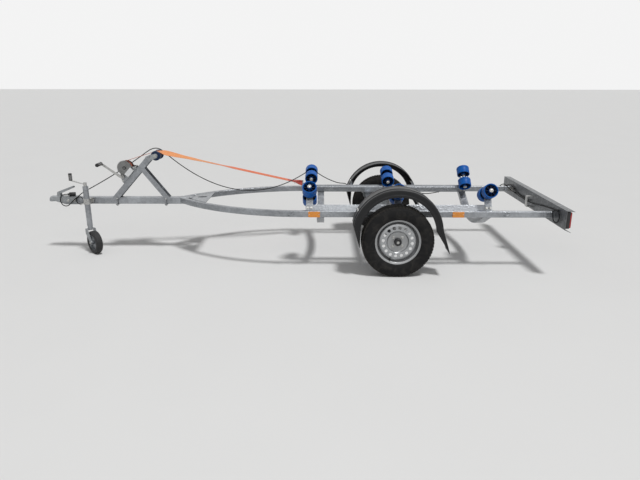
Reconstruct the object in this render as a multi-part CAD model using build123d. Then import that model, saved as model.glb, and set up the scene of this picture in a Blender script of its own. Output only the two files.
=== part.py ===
from build123d import *
import math
import os

# Boat trailer, millimetres. +X points to the rear, +Y to the right hand side, +Z up.
# The origin is on the floor under the middle of the bounding box.
# Stations along the trailer are measured from the wheel axle, rearwards positive.

# Clearances
running_gap = 0.3            # between curved or flat faces on different bodies
pin_play = 0.05              # radial play of a pin in its hole

# Chassis tubes
tube_wall = 3.0
frame_top = 495.0
drawbar_size = 60.0
rail_width = 40.0
rail_height = 50.0
rail_outer_y = 545.0
rail_bend_station = -740.0
rail_bend_radius = 1480.0
rail_bend_turn = 50.0
tube_corner = 5.0
rail_inner_y = rail_outer_y - rail_width
rail_bottom = frame_top - rail_height

# Fork: the corner where the rails' inner faces meet the drawbar's sides
fork_radius = rail_bend_radius - rail_width / 2
fork_fall = rail_inner_y - drawbar_size / 2
fork_station = rail_bend_station - math.sqrt(fork_radius ** 2 - (fork_radius - fork_fall) ** 2)

# Lengths along the drawbar, each from the place behind it
drawbar_tail = 67.7          # drawbar behind the fork's corner
brace_ahead = 172.3          # from the fork's corner to the foot of the winch brace
strut_spread = 450.0         # from there to the foot of the winch post
drawbar_nose = 465.0         # from there to the drawbar's front end
coupling_reach = 150.0       # from there to the tip of the coupling
drawbar_rear = fork_station + drawbar_tail
brace_foot_station = fork_station - brace_ahead
post_foot_station = brace_foot_station - strut_spread
drawbar_front = post_foot_station - drawbar_nose
nose_reach = coupling_reach - drawbar_front
tail_reach = 1335.0          # from the axle to the rear lips of the light board
axle_x = (nose_reach - tail_reach) / 2

# Fork gusset
gusset_thickness = 6.0
gusset_length = 150.0
gusset_hole_width = 55.0
gusset_hole_margin = 35.0
gusset_rear = drawbar_rear + gusset_length

# Cross members, bowed down so that a keel clears them
arm_slope = 27.0
arm_depth = 40.0
arm_width = 62.0
arm_bow_radius = 700.0
crossmember_stations = (-610.0, 765.0)

# Bearer beams, standing square on the sloping arms
bearer_height = 60.0
bearer_width = 40.0
bearer_foot_y = 443.6
bearer_front = -732.0
bearer_rear = 797.0

# Roller groups: post, cradle and a pair of rollers
post_width = 57.0
post_thickness = 8.0
post_neck = 25.0
ear_width = 8.0
ear_eye_radius = 12.0
trunnion_radius = 6.0
shaft_radius = 10.0
boss_radius = 15.0
boss_length = 28.0
roller_radius = 59.0
roller_width = 75.0
roller_gap = 60.0
roller_chamfer = 6.0
roller_shell = 8.0
roller_hub_radius = 17.0
roller_web = 8.0
roller_rib = 6.0
roller_rib_count = 8
roller_rib_recess = 9.0
shaft_end = 6.0
# name, side of the trailer, station, height of the cradle up its post, tilt at rest
roller_groups = (
    ("front_left", -1, -700.0, 144.0, 48.0),
    ("middle_left", -1, 25.0, 144.0, 30.0),
    ("rear_left", -1, 765.0, 160.0, 22.0),
    ("front_right", 1, -700.0, 178.0, 15.0),
    ("middle_right", 1, 25.0, 158.0, 20.0),
    ("rear_right", 1, 765.0, 145.0, 46.0),
)

# Axle, wheels and mudguards
wheel_centre_z = 287.0
wheel_centre_y = 662.0
tyre_radius = 287.0
tyre_width = 156.0
tyre_wall = 11.0
rim_flange_radius = 182.5
rim_seat_radius = 168.0
rim_width = 122.0
rim_wall = 4.0
disc_wall = 5.0
disc_face_offset = 30.0
disc_ring_radius = 146.0
vent_count = 16
vent_radius = 13.0
vent_circle = 115.0
hub_recess_radius = 83.0
vent_ring_rise = 14.0
hub_flange_radius = 72.0
hub_flange_thickness = 12.0
hub_barrel_radius = 50.0
hub_bore_radius = 15.0
hub_cap_radius = 29.0
hub_cap_reach = 30.0
hub_cap_rounding = 7.0
hub_gap = 5.0
stub_past_face = 8.0
wheel_bolt_count = 4
wheel_bolt_circle = 50.0
wheel_bolt_radius = 8.5
wheel_bolt_shank = 6.0
wheel_bolt_reach = 12.0
axle_tube_size = 60.0
axle_station = -150.0
axle_seat = 10.0
axle_half_length = 548.0
axle_seat_length = 110.0
axle_seat_width = 46.0
arm_thickness = 22.0
arm_end_radius = 40.0
arm_stub_radius = 30.0
guard_station = -5.0
guard_radius = 355.0
guard_centre_z = 355.0
guard_inner_y = 566.0
guard_outer_y = 748.0
guard_skin = 4.0
guard_skirt = 46.0
guard_shoulder = 10.0
guard_rear_angle = 6.0
guard_front_angle = 168.0
guard_rib_height = 6.0
guard_rib_width = 26.0
guard_rib_inset = 34.0
flap_inset = 20.0
flap_knee = 78.0             # depth of the rear flap's gusset where the arch ends
flap_lead = 10.0             # degrees of arch over which it deepens to that
front_flap_tip = (-304.0, 250.0)
rear_flap_tip = (409.0, 200.0)
stay_width = 30.0
stay_thickness = 5.0
stay_foot = 8.0
stay_reach = 690.0
stay_upright_share = 0.8
stay_angles = (29.0, 151.0)

# Coupling
ball_radius = 25.0
ball_play = 0.25
ball_centre_z = 470.0
ball_mouth_z = 457.0
ball_shell = 7.75
coupling_wall = 4.0
coupling_sleeve = 110.0
coupling_neck_step = 4.0
coupling_throat = 8.0
handle_pivot_ahead = 57.0
handle_pivot_z = 531.0
handle_width = 34.0
handle_wall = 3.0
handle_boss_radius = 12.0
handle_grip_radius = 9.0
handle_ear_radius = 11.0
handle_ear_foot = 44.0
handle_pin_radius = 5.0
handle_grip_behind = 73.0
handle_grip_z = 583.0
coupling_sleeve_rear = drawbar_front + coupling_sleeve
handle_pivot_station = drawbar_front - handle_pivot_ahead
handle_grip_station = drawbar_front + handle_grip_behind

# Jockey wheel
jockey_behind = 220.0
jockey_station = drawbar_front + jockey_behind
jockey_y = -84.0
jockey_tube_radius = 24.0
jockey_tube_wall = 2.5
jockey_tube_top = 600.0
jockey_tube_bottom = 245.0
jockey_cap = 6.0
jockey_neck_top = 634.0
jockey_neck_radius = 7.0
jockey_inner_wall = 3.0
jockey_inner_bottom = 222.0
jockey_inner_top = 520.0
jockey_wheel_radius = 103.0
jockey_wheel_width = 56.0
jockey_trail = 58.0
jockey_yaw = -42.0
jockey_fork_wall = 5.0
jockey_crown = 10.0
jockey_side_gap = 5.0
jockey_plate_radius = 22.0
jockey_axle_eye = 17.0
jockey_axle_radius = 7.0
jockey_nut = 6.0
jockey_rounding = 14.0
jockey_rim_radius = 70.0
jockey_hub_radius = 18.0
jockey_web = 5.0
king_pin_radius = 10.0
king_pin_length = 30.0
clamp_height = 50.0
clamp_wall = 7.0
clamp_plate = 8.0
clamp_half = 40.0
tee_reach = 34.0
tee_radius = 5.0
tee_half = 34.0
jockey_crank_length = 122.0
jockey_crank_rise = 34.0
jockey_arm_radius = 6.0
jockey_grip_radius = 15.0
jockey_grip_length = 62.0

# Winch post
post_lean = 47.5
post_length = 470.0
channel_depth = 50.0
channel_wall = 4.0
channel_play = 0.3
channel_skirt = 26.0
brace_lean = 52.5
brace_depth = 42.0
clamp_bolt_radius = 5.0
clamp_strap = 6.0
clamp_shift = 6.0

# Bow stop
bow_roller_rise = 69.0
bow_roller_along = post_length + bow_roller_rise
bow_roller_out = 34.0
bow_roller_radius = 42.0
bow_roller_waist = 33.0
bow_roller_length = 116.0
bow_pin_radius = 8.0
bow_cheek = 6.0
bow_cheek_play = 1.0
bow_eye_radius = 20.0
bow_slot_along = 24.0
bow_slot_out = 2.0
bow_slot_turn = -35.0
bow_slot_length = 26.0
bow_slot_width = 9.0
bow_edge = 4.0
bow_rim = 16.0
bow_waist_half = 30.0

# Winch
winch_drum_along = 268.0
winch_drum_out = 103.5
winch_crank_along = 194.0
winch_crank_out = 72.0
winch_plate = 4.0
winch_plate_y = 38.0
winch_drum_boss = 26.0
winch_crank_boss = 20.0
winch_plate_front = 152.0
winch_plate_back = 338.0
winch_base = 4.0
gear_module = 3.0
gear_teeth = 42
pinion_teeth = 12
gear_thickness = 8.0
gear_addendum = 0.8
gear_root_gap = 0.2
gear_backlash = 0.5
pressure_angle = 20.0
gear_clearance = 5.0
drum_core_radius = 17.0
drum_flange_radius = 58.0
drum_flange = 3.0
wound_radius = 50.0
strap_width = 50.0
strap_thickness = 3.0
shaft_reach = 6.0
winch_shaft_radius = 8.0
crank_length = 200.0
crank_angle = 144.0
crank_bar = 18.0
crank_bar_thickness = 6.0
crank_offset = 30.0
grip_radius = 15.0
grip_length = 95.0

# Strap from the winch to the right hand rail
strap_hook_point = (-790.0, 395.0, 548.0)
strap_twist = 66.0
strap_twist_steps = 3
hook_radius = 4.0
hook_bend = 14.0

# Lighting cable: held along the right rail and the board, free from there to its plug
cable_radius = 4.0
cable_off = 7.0              # from a face that it passes, to its middle
cable_over_pivot = 28.5      # height over the front right cradle's pivot
cable_clip_station = -350.0
cable_joint_z = 472.0
cable_over_roller = 44.0     # side of the strap that it passes on
loop_radius = 38.0
loop_behind = 143.0
loop_off = 8.0
loop_z = 472.0
plug_radius = 17.0
plug_length = 66.0
plug_behind = 19.0
plug_y = -6.0
loop_station = drawbar_front + loop_behind
plug_station = drawbar_front + plug_behind
clip_wall = 2.5
clip_length = 9.0
rail_clip_index = (3, 6, 12, 16)
board_clip_index = (24, 28, 32)
branch_clip_index = (7, 11)
# station, y and height of the corners along the rail and up onto the board
rail_cable = (
    (-350.0, 552.0, 452.0), (-336.0, 552.0, 440.0), (-300.0, 552.0, 439.0), (-235.0, 552.0, 447.0),
    (-150.0, 552.0, 457.0),
    (-45.0, 552.0, 452.0), (60.0, 552.0, 446.0), (170.0, 552.0, 440.0), (280.0, 552.0, 437.0),
    (360.0, 552.0, 421.0), (440.0, 552.0, 410.0), (520.0, 552.0, 421.0), (600.0, 552.0, 441.0),
    (700.0, 552.0, 447.0), (800.0, 552.0, 445.0), (900.0, 552.0, 442.0), (1000.0, 552.0, 446.0),
    (1090.0, 552.0, 456.0), (1150.0, 552.0, 476.0), (1182.0, 550.0, 506.0), (1200.0, 522.0, 520.0),
    (1212.0, 486.0, 508.0), (1232.0, 455.0, 482.0), (1258.0, 412.0, 464.0), (1266.0, 350.0, 456.0),
    (1267.0, 270.0, 451.0), (1268.0, 180.0, 452.0), (1267.0, 90.0, 449.0), (1266.0, 10.0, 452.0),
    (1262.0, -65.0, 460.0), (1266.0, -140.0, 466.0), (1267.0, -220.0, 480.0), (1266.0, -310.0, 491.0),
    (1267.0, -400.0, 499.0), (1266.0, -480.0, 507.0), (1267.0, -545.0, 512.0), (1266.0, -600.0, 520.0),
    (1266.0, -645.0, 505.0), (1265.0, -662.0, 466.0), (1262.0, -640.0, 430.0), (1257.0, -600.0, 420.0),
    (1254.0, -566.0, 440.0), (1253.0, -562.0, 478.0), (1243.0, -572.0, 500.0), (1240.0, -590.0, 515.0),
    (1252.0, -608.0, 520.0), (1275.0, -608.0, 520.0),
)
# the same for the branch to the right lamp
lamp_cable = (
    (1275.0, 642.0, 470.0), (1255.0, 642.0, 470.0), (1240.0, 626.0, 476.0), (1240.0, 600.0, 486.0),
    (1252.0, 572.0, 500.0),
    (1264.0, 540.0, 510.0), (1266.0, 500.0, 512.0), (1267.0, 455.0, 500.0), (1266.0, 400.0, 484.0),
    (1267.0, 330.0, 472.0), (1267.0, 250.0, 467.0), (1266.0, 160.0, 467.0), (1267.0, 80.0, 465.0),
    (1266.0, 10.0, 470.0), (1262.0, -45.0, 480.0),
)

# Light board
board_half_width = 760.0
top_lip = 60.0
board_front = tail_reach - top_lip
board_bottom = 400.0
board_top = 552.0
board_sheet = 3.0
top_lip_fall = 4.0
bottom_lip = 48.0
bottom_lip_fall = 21.0
lamp_width = 225.0
lamp_height = 134.0
lamp_depth = 30.0
lens_depth = 16.0
lens_rim = 5.0
lens_chamfer = 3.0
lamp_rounding = 10.0
lamp_inset = 6.0
board_angle = 40.0
board_angle_wall = 4.0
board_bracket_depth = 62.0
board_bracket_width = 44.0
board_bracket_height = 96.0
board_bracket_y = -65.0

# Reflectors and lashing eyes
reflector_length = 94.0
reflector_height = 46.0
reflector_depth = 8.0
reflector_rounding = 4.0
reflector_stations = (-661.0, 500.0)
eye_stations = (-845.0, 890.0)
eye_bar_radius = 4.5
eye_span = 44.0
eye_reach = 26.0
eye_taper = 0.6
eye_bend = 12.0
eye_lean = -25.0


def xa(station):
    """Turn a station from the axle into the part's own X."""
    return axle_x + station


def block(x0, x1, y0, y1, z0, z1):
    """Box between two corners."""
    return Pos((x0 + x1) / 2, (y0 + y1) / 2, (z0 + z1) / 2) * Box(x1 - x0, y1 - y0, z1 - z0)


def bar(start, end, radius):
    """Round bar from one point to another."""
    axis = Vector(*end) - Vector(*start)
    return Plane(origin=start, z_dir=axis) * Cylinder(
        radius, axis.length, align=(Align.CENTER, Align.CENTER, Align.MIN)
    )


def pipe(start, end, outer, inner):
    """Round tube from one point to another."""
    return bar(start, end, outer) - bar(start, end, inner)


def square_ring(width, height, wall, corner):
    """Section of a box tube."""
    return RectangleRounded(width, height, corner) - Rectangle(width - 2 * wall, height - 2 * wall)


def y_cylinder(x, y0, y1, z, radius):
    """Cylinder along Y."""
    return bar((x, y0, z), (x, y1, z), radius)


def side_plate(outline, y0, y1):
    """Plate cut from an outline in X and Z, between two Y positions."""
    return extrude(Plane((0, y1, 0), x_dir=(1, 0, 0), z_dir=(0, -1, 0)) * outline, y1 - y0)


def mirrored(shape):
    """The same piece on the other side of the trailer."""
    return mirror(shape, about=Plane.XZ)


def save(node, *solids):
    """Write one node, made of one or more solids."""
    shape = solids[0] if len(solids) == 1 else Compound(children=list(solids))
    export_step(shape, f"parts/{node}.step")


def make_drawbar():
    """Straight square tube from the coupling to the fork."""
    plane = Plane((xa(drawbar_front), 0, frame_top - drawbar_size / 2), x_dir=(0, 1, 0), z_dir=(1, 0, 0))
    section = square_ring(drawbar_size, drawbar_size, tube_wall, tube_corner)
    return extrude(plane * section, drawbar_rear - drawbar_front)


def rail_curve(side):
    """Centre line of one rail: straight at the rear, one arc into the drawbar."""
    y = side * (rail_outer_y - rail_width / 2)
    straight = Line((xa(board_front), y), (xa(rail_bend_station), y))
    arc = JernArc(straight @ 1, straight % 1, rail_bend_radius, side * rail_bend_turn)
    return straight + arc


def make_rail(side):
    """One long rail, mitred against the side of the drawbar."""
    path = Pos(0, 0, frame_top - rail_height / 2) * rail_curve(side)
    start = path @ 0
    plane = Plane(start, x_dir=(0, 1, 0), z_dir=(-1, 0, 0))
    rail = sweep(plane * square_ring(rail_width, rail_height, tube_wall, tube_corner), path)
    half = drawbar_size / 2
    reach = rail_bend_radius
    keep = block(xa(-nose_reach), xa(tail_reach), *sorted((side * half, side * reach)), 0, 2 * frame_top)
    return rail & keep


def rail_outer_place(side, station, height):
    """Location on a rail's outer face, turned with the rail where it bends."""
    outer = rail_bend_radius + rail_width / 2
    run = max(0.0, rail_bend_station - station)
    fall = outer - math.sqrt(outer ** 2 - run ** 2)
    turn = math.degrees(math.asin(run / outer))
    return Location((xa(station), side * (rail_outer_y - fall), height), (0, 0, side * turn))


def make_gusset():
    """Flat plate welded into the fork, with a lightening hole."""
    centre_y = rail_inner_y - fork_radius
    disc = Pos(xa(rail_bend_station), centre_y) * Circle(fork_radius)
    fork = disc & mirror(disc, about=Plane.XZ)
    middle = xa((drawbar_rear + gusset_rear) / 2)
    room = Pos(middle, 0) * Rectangle(gusset_rear - drawbar_rear, 2 * rail_inner_y)
    hole_front = drawbar_rear + gusset_hole_margin
    hole_rear = gusset_rear - gusset_hole_margin
    hole = Pos(xa((hole_front + hole_rear) / 2), 0) * SlotOverall(hole_rear - hole_front, gusset_hole_width)
    plate = (fork & room) - hole
    return extrude(Pos(0, 0, frame_top - gusset_thickness) * plate, gusset_thickness)


def bow_line(drop):
    """Top line of a cross member from rail to rail, lowered by a distance square to it."""
    slope = math.tan(math.radians(arm_slope))
    fall = drop / math.cos(math.radians(arm_slope))
    ends = frame_top - fall
    apex = ends - rail_inner_y * slope
    radius = arm_bow_radius + drop
    return FilletPolyline((-rail_inner_y, ends), (0, apex), (rail_inner_y, ends), radius=radius)


def bow_face(top_drop, bottom_drop):
    """Closed outline between two lowered bow lines."""
    upper = bow_line(top_drop)
    lower = bow_line(bottom_drop)
    return make_face(upper + lower + Line(upper @ 0, lower @ 0) + Line(upper @ 1, lower @ 1))


def make_crossmember(station):
    """Box section arm bowed down between the rails."""
    plane = Plane((xa(station) - arm_width / 2, 0, 0), x_dir=(0, 1, 0), z_dir=(1, 0, 0))
    outer = extrude(plane * bow_face(0, arm_depth), arm_width)
    hollow_plane = plane.offset(tube_wall)
    inner = extrude(hollow_plane * bow_face(tube_wall, arm_depth - tube_wall), arm_width - 2 * tube_wall)
    return outer - inner


def arm_point(side, along, up):
    """Point in Y and Z measured from a bearer's foot: outwards along the arm, and square up from it."""
    slope = math.radians(arm_slope)
    foot_z = frame_top - (rail_inner_y - bearer_foot_y) * math.tan(slope)
    y = bearer_foot_y + along * math.cos(slope) - up * math.sin(slope)
    z = foot_z + along * math.sin(slope) + up * math.cos(slope)
    return side * y, z


def make_bearer(side):
    """Long box beam that carries the roller posts, open at both ends."""
    y, z = arm_point(side, 0, bearer_height / 2)
    edge_y, edge_z = arm_point(side, 1, bearer_height / 2)
    plane = Plane((xa(bearer_front), y, z), x_dir=(0, edge_y - y, edge_z - z), z_dir=(1, 0, 0))
    section = square_ring(bearer_width, bearer_height, tube_wall, tube_corner)
    return extrude(plane * section, bearer_rear - bearer_front)


def post_centre(side, reach):
    """Y and Z of a cradle's pivot, up the middle of its post plate."""
    return arm_point(side, bearer_width / 2 + post_thickness / 2, reach)


def make_post(side, station, reach):
    """Plate on the outer face of a bearer, with two ears for the cradle's pivot."""
    slope = math.radians(arm_slope)
    up = Vector(0, -side * math.sin(slope), math.cos(slope))
    plane = Plane((xa(station), *post_centre(side, 0)), x_dir=(1, 0, 0), z_dir=Vector(1, 0, 0).cross(up))
    half = post_width / 2
    top = reach - post_neck
    outline = Pos(0, top / 2) * Rectangle(post_width, top)
    for s in (-1, 1):
        outline += Pos(s * (half - ear_width / 2), (top + reach) / 2) * Rectangle(ear_width, reach - top)
    post = extrude(plane * outline, post_thickness / 2, both=True)
    pivot = post_centre(side, reach)
    for s in (-1, 1):
        inner = (xa(station) + s * (half - ear_width), *pivot)
        outer = (xa(station) + s * half, *pivot)
        post += bar(inner, outer, ear_eye_radius)
    ends = [(xa(station) + s * post_width, *pivot) for s in (-1, 1)]
    return post - bar(*ends, trunnion_radius + pin_play)


def group_place(side, station, reach, tilt):
    """Location of a cradle: its shaft along local Y, outer end tipped up."""
    return Location((xa(station), *post_centre(side, reach)), (side * tilt, 0, 0))


def make_cradle():
    """Cross block with the roller shaft and two trunnions, about its own pivot."""
    end = roller_gap / 2 + roller_width
    trunnion = post_width / 2
    cradle = bar((0, -boss_length / 2, 0), (0, boss_length / 2, 0), boss_radius)
    cradle += bar((0, -end - shaft_end - running_gap, 0), (0, end + shaft_end + running_gap, 0), shaft_radius)
    cradle += bar((-trunnion, 0, 0), (trunnion, 0, 0), trunnion_radius)
    for s in (-1, 1):
        face = s * (end + running_gap)
        cradle += bar((0, face, 0), (0, face + s * shaft_end, 0), roller_hub_radius - 1)
        spacer = s * (roller_gap / 2 - running_gap)
        cradle += bar((0, s * boss_length / 2, 0), (0, spacer, 0), shaft_radius + 2)
    return cradle


def make_roller(side):
    """Hollow roller with a hub, a middle web and radial ribs, on the shaft along Y."""
    inner_radius = roller_radius - roller_shell
    half = roller_width / 2
    body = y_cylinder(0, -half, half, 0, roller_radius)
    body = chamfer(body.edges().filter_by(GeomType.CIRCLE), roller_chamfer)
    cavity = y_cylinder(0, -half, half, 0, inner_radius) - y_cylinder(0, -half, half, 0, roller_hub_radius)
    cavity -= y_cylinder(0, -roller_web / 2, roller_web / 2, 0, roller_radius)
    rib_half = half - roller_rib_recess
    for index in range(roller_rib_count):
        rib = block(0, roller_radius, -rib_half, rib_half, -roller_rib / 2, roller_rib / 2)
        cavity -= Rot(0, index * 360 / roller_rib_count, 0) * rib
    roller = body - cavity - y_cylinder(0, -half, half, 0, shaft_radius + pin_play)
    return Pos(0, side * (roller_gap + roller_width) / 2, 0) * roller


def make_axle_tube():
    """Square torsion tube under the rails, with a seat block and its flange at each rail."""
    x = xa(axle_station)
    top = rail_bottom - axle_seat
    plane = Plane((x, -axle_half_length, top - axle_tube_size / 2), x_dir=(1, 0, 0), z_dir=(0, 1, 0))
    section = square_ring(axle_tube_size, axle_tube_size, tube_wall, tube_corner)
    tube = extrude(plane * section, 2 * axle_half_length)
    seat_y = rail_outer_y - rail_width / 2
    for s in (-1, 1):
        half = axle_seat_width / 2
        tube += block(
            x - axle_seat_length / 2, x + axle_seat_length / 2,
            s * seat_y - half, s * seat_y + half, top, rail_bottom,
        )
        cap = s * (axle_half_length - tube_wall)
        tube += block(
            x - axle_tube_size / 2 + 1, x + axle_tube_size / 2 - 1,
            min(cap, s * axle_half_length), max(cap, s * axle_half_length),
            top - axle_tube_size + 1, top - 1,
        )
    return tube


def make_swing_arm():
    """Trailing arm of the left wheel with its stub axle."""
    outer_y = -axle_half_length - arm_thickness
    pivot = (xa(axle_station), rail_bottom - axle_seat - axle_tube_size / 2)
    wheel = (xa(0), wheel_centre_z)
    big = Pos(*pivot) * Circle(arm_end_radius)
    small = Pos(*wheel) * Circle(arm_stub_radius)
    arm = side_plate(make_hull((big + small).edges()), outer_y, -axle_half_length)
    hub_end = -(wheel_centre_y + disc_face_offset + stub_past_face)
    return arm + y_cylinder(wheel[0], hub_end, outer_y, wheel[1], hub_bore_radius)


def wheel_profile_plane():
    """Plane for wheel profiles: local X is the radius, local Y the distance outwards."""
    return Plane((xa(0), -wheel_centre_y, wheel_centre_z), x_dir=(0, 0, 1), z_dir=(1, 0, 0))


def spin_about_wheel(profile):
    """Solid of revolution about the left wheel's axle."""
    axis = Axis((xa(0), -wheel_centre_y, wheel_centre_z), (0, -1, 0))
    return revolve(wheel_profile_plane() * profile, axis)


def make_tyre():
    """Tyre shell: beads on the rim, bulged side walls, shoulders and a flat tread."""
    half = tyre_width / 2
    rim_half = rim_width / 2
    shoulder_radius = tyre_radius - 9
    bulge_radius = (rim_flange_radius + tyre_radius) / 2 - 4
    tread_half = half - 20
    toe = (rim_seat_radius + 1, rim_half - 25)
    heel = (rim_seat_radius + 3, rim_half - 5)
    flange = (rim_flange_radius, rim_half)
    wall_foot = (rim_flange_radius + 2, rim_half - 18)
    inner_tread = tyre_radius - tyre_wall
    wall_top = (inner_tread - 6, tread_half - 4)
    right = [
        Line((inner_tread, 0), (inner_tread, tread_half - 12)),
        Line((inner_tread, tread_half - 12), wall_top),
        ThreePointArc(wall_top, (bulge_radius, half - tyre_wall), wall_foot),
        Polyline(wall_foot, toe, heel, flange),
        ThreePointArc(flange, (bulge_radius, half), (shoulder_radius, tread_half + 9)),
        ThreePointArc(
            (shoulder_radius, tread_half + 9), (tyre_radius - 3, tread_half + 4),
            (tyre_radius, tread_half - 6),
        ),
        Line((tyre_radius, tread_half - 6), (tyre_radius, 0)),
    ]
    left = [mirror(edge, about=Plane.XZ) for edge in right]
    return spin_about_wheel(make_face(right + left))


def make_rim():
    """Steel rim: dropped well, dished disc with vent holes, and bolt holes."""
    half = rim_width / 2
    seat = rim_seat_radius
    # distance outwards, outer radius
    barrel = (
        (-half, rim_flange_radius), (-half + 5, seat + 3), (-half + 30, seat), (-half + 42, seat - 14),
        (half - 45, seat - 14), (half - 33, seat), (half - 5, seat + 3), (half, rim_flange_radius),
    )
    outer = [(radius, out) for out, radius in barrel]
    inner = [(radius - rim_wall, out) for radius, out in reversed(outer)]
    rim = spin_about_wheel(make_face(Polyline(*outer, *inner, close=True)))
    bolt_face = disc_face_offset + disc_wall
    # radius, distance outwards of the outer face
    dish = (
        (seat - 14 - rim_wall / 2, half - 45 - disc_wall), (disc_ring_radius, bolt_face + 6),
        (vent_circle + vent_radius + 3, bolt_face + vent_ring_rise),
        (hub_recess_radius + 8, bolt_face + vent_ring_rise), (hub_recess_radius - 4, bolt_face),
        (hub_cap_radius + 1, bolt_face),
    )
    back = [(radius, out - disc_wall) for radius, out in reversed(dish)]
    rim += spin_about_wheel(make_face(Polyline(*dish, *back, close=True)))
    y0 = -wheel_centre_y - disc_face_offset
    for index in range(vent_count):
        angle = math.radians((index + 0.5) * 360 / vent_count)
        x = xa(0) + vent_circle * math.cos(angle)
        z = wheel_centre_z + vent_circle * math.sin(angle)
        rim -= y_cylinder(x, y0 - 2 * vent_ring_rise, y0 + vent_ring_rise, z, vent_radius)
    for x, z in wheel_bolt_places():
        rim -= y_cylinder(x, y0 - 2 * disc_wall, y0 + disc_wall, z, wheel_bolt_shank + running_gap)
    return rim


def wheel_bolt_places():
    """X and Z of each wheel bolt."""
    angles = [math.radians(45 + index * 360 / wheel_bolt_count) for index in range(wheel_bolt_count)]
    return [
        (xa(0) + wheel_bolt_circle * math.cos(angle), wheel_centre_z + wheel_bolt_circle * math.sin(angle))
        for angle in angles
    ]


def make_hub():
    """Hub barrel and flange behind the disc, wheel bolts and the cap through its middle."""
    face = wheel_centre_y + disc_face_offset
    bolt_face = face + disc_wall
    barrel_end = axle_half_length + arm_thickness + hub_gap
    cap_end = bolt_face + hub_cap_reach
    z = wheel_centre_z
    hub = y_cylinder(xa(0), -face, -barrel_end, z, hub_barrel_radius)
    hub += y_cylinder(xa(0), -face, -face + hub_flange_thickness, z, hub_flange_radius)
    cap = y_cylinder(xa(0), -cap_end, -face, z, hub_cap_radius)
    rounded = cap.edges().filter_by(GeomType.CIRCLE).sort_by(Axis.Y)[0]
    hub += fillet(rounded, hub_cap_rounding)
    for x, bolt_z in wheel_bolt_places():
        hub += y_cylinder(x, -bolt_face, -face, bolt_z, wheel_bolt_shank)
        hub += y_cylinder(x, -bolt_face - wheel_bolt_reach, -bolt_face, bolt_z, wheel_bolt_radius)
    stub = face + stub_past_face + hub_gap
    return hub - y_cylinder(xa(0), -stub, -barrel_end, z, hub_bore_radius + pin_play)


def guard_section():
    """Mudguard section: flat top with a raised rib, rounded shoulder and a deep outer skirt."""
    radius = guard_radius
    rib = guard_outer_y - guard_rib_inset
    slope = guard_skin / 2
    points = (
        (guard_inner_y, radius), (rib - guard_rib_width, radius),
        (rib - guard_rib_width + guard_rib_height, radius + guard_rib_height),
        (rib - guard_rib_height, radius + guard_rib_height), (rib, radius),
        (guard_outer_y - guard_shoulder, radius), (guard_outer_y, radius - guard_shoulder),
        (guard_outer_y, radius - guard_skirt), (guard_outer_y - guard_skin, radius - guard_skirt),
        (guard_outer_y - guard_skin, radius - guard_shoulder - slope),
        (guard_outer_y - guard_shoulder - slope, radius - guard_skin), (guard_inner_y, radius - guard_skin),
    )
    return make_face(Polyline(*[(r, y) for y, r in points], close=True))


def guard_point(radius, angle):
    """X and Z on the mudguard's arch, the angle counted up from the rear."""
    turn = math.radians(angle)
    return xa(guard_station) + radius * math.cos(turn), guard_centre_z + radius * math.sin(turn)


def make_flap(angle, tip, corners):
    """Flap that carries the arch on downwards; its outer gusset tapers from these corners."""
    outer = guard_point(guard_radius, angle)
    inner = guard_point(guard_radius - guard_skin, angle)
    end = (xa(tip[0]), tip[1])
    towards_wheel = guard_skin if tip[0] < 0 else -guard_skin
    inner_end = (end[0] + towards_wheel, end[1])
    panel = make_face(Polyline(outer, end, inner_end, inner, close=True))
    gusset = make_face(Polyline(outer, end, inner_end, *corners, close=True))
    flap = side_plate(panel, -guard_outer_y, -guard_inner_y - flap_inset)
    return flap + side_plate(gusset, -guard_outer_y, -guard_outer_y + guard_skin)


def sweep_arch(section, start_angle, end_angle):
    """Turn a section, drawn as radius and distance outwards, about the mudguard's centre."""
    centre = (xa(guard_station), 0, guard_centre_z)
    turn = math.radians(start_angle)
    c, s = math.cos(turn), math.sin(turn)
    plane = Plane(centre, x_dir=(c, 0, s), z_dir=(s, 0, -c))
    return revolve(plane * section, Axis(centre, (0, -1, 0)), end_angle - start_angle)


def make_mudguard():
    """Left mudguard: an arch with a flap at each end."""
    guard = sweep_arch(guard_section(), guard_rear_angle, guard_front_angle)
    skirt = guard_radius - guard_skirt
    knee = guard_point(guard_radius - flap_knee, guard_rear_angle)
    lead = guard_point(skirt, guard_rear_angle + flap_lead)
    guard += make_flap(guard_rear_angle, rear_flap_tip, (knee, lead))
    guard += make_flap(guard_front_angle, front_flap_tip, (guard_point(skirt, guard_front_angle),))
    return guard


def make_stay(angle):
    """Stay of the left mudguard: upright on the rail, then a strap under the arch."""
    under = guard_radius - guard_skin
    half_turn = math.degrees(stay_width / 2 / under)
    section = Pos(under - stay_thickness / 2, (rail_outer_y + stay_reach) / 2) * Rectangle(
        stay_thickness, stay_reach - rail_outer_y
    )
    strap = sweep_arch(section, angle - half_turn, angle + half_turn)
    x, z = guard_point(under - stay_thickness / 2, angle)
    half = stay_width * stay_upright_share / 2
    upright = block(
        x - half, x + half, -rail_outer_y - stay_thickness, -rail_outer_y, rail_bottom + stay_foot, z
    )
    return strap + upright


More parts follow.
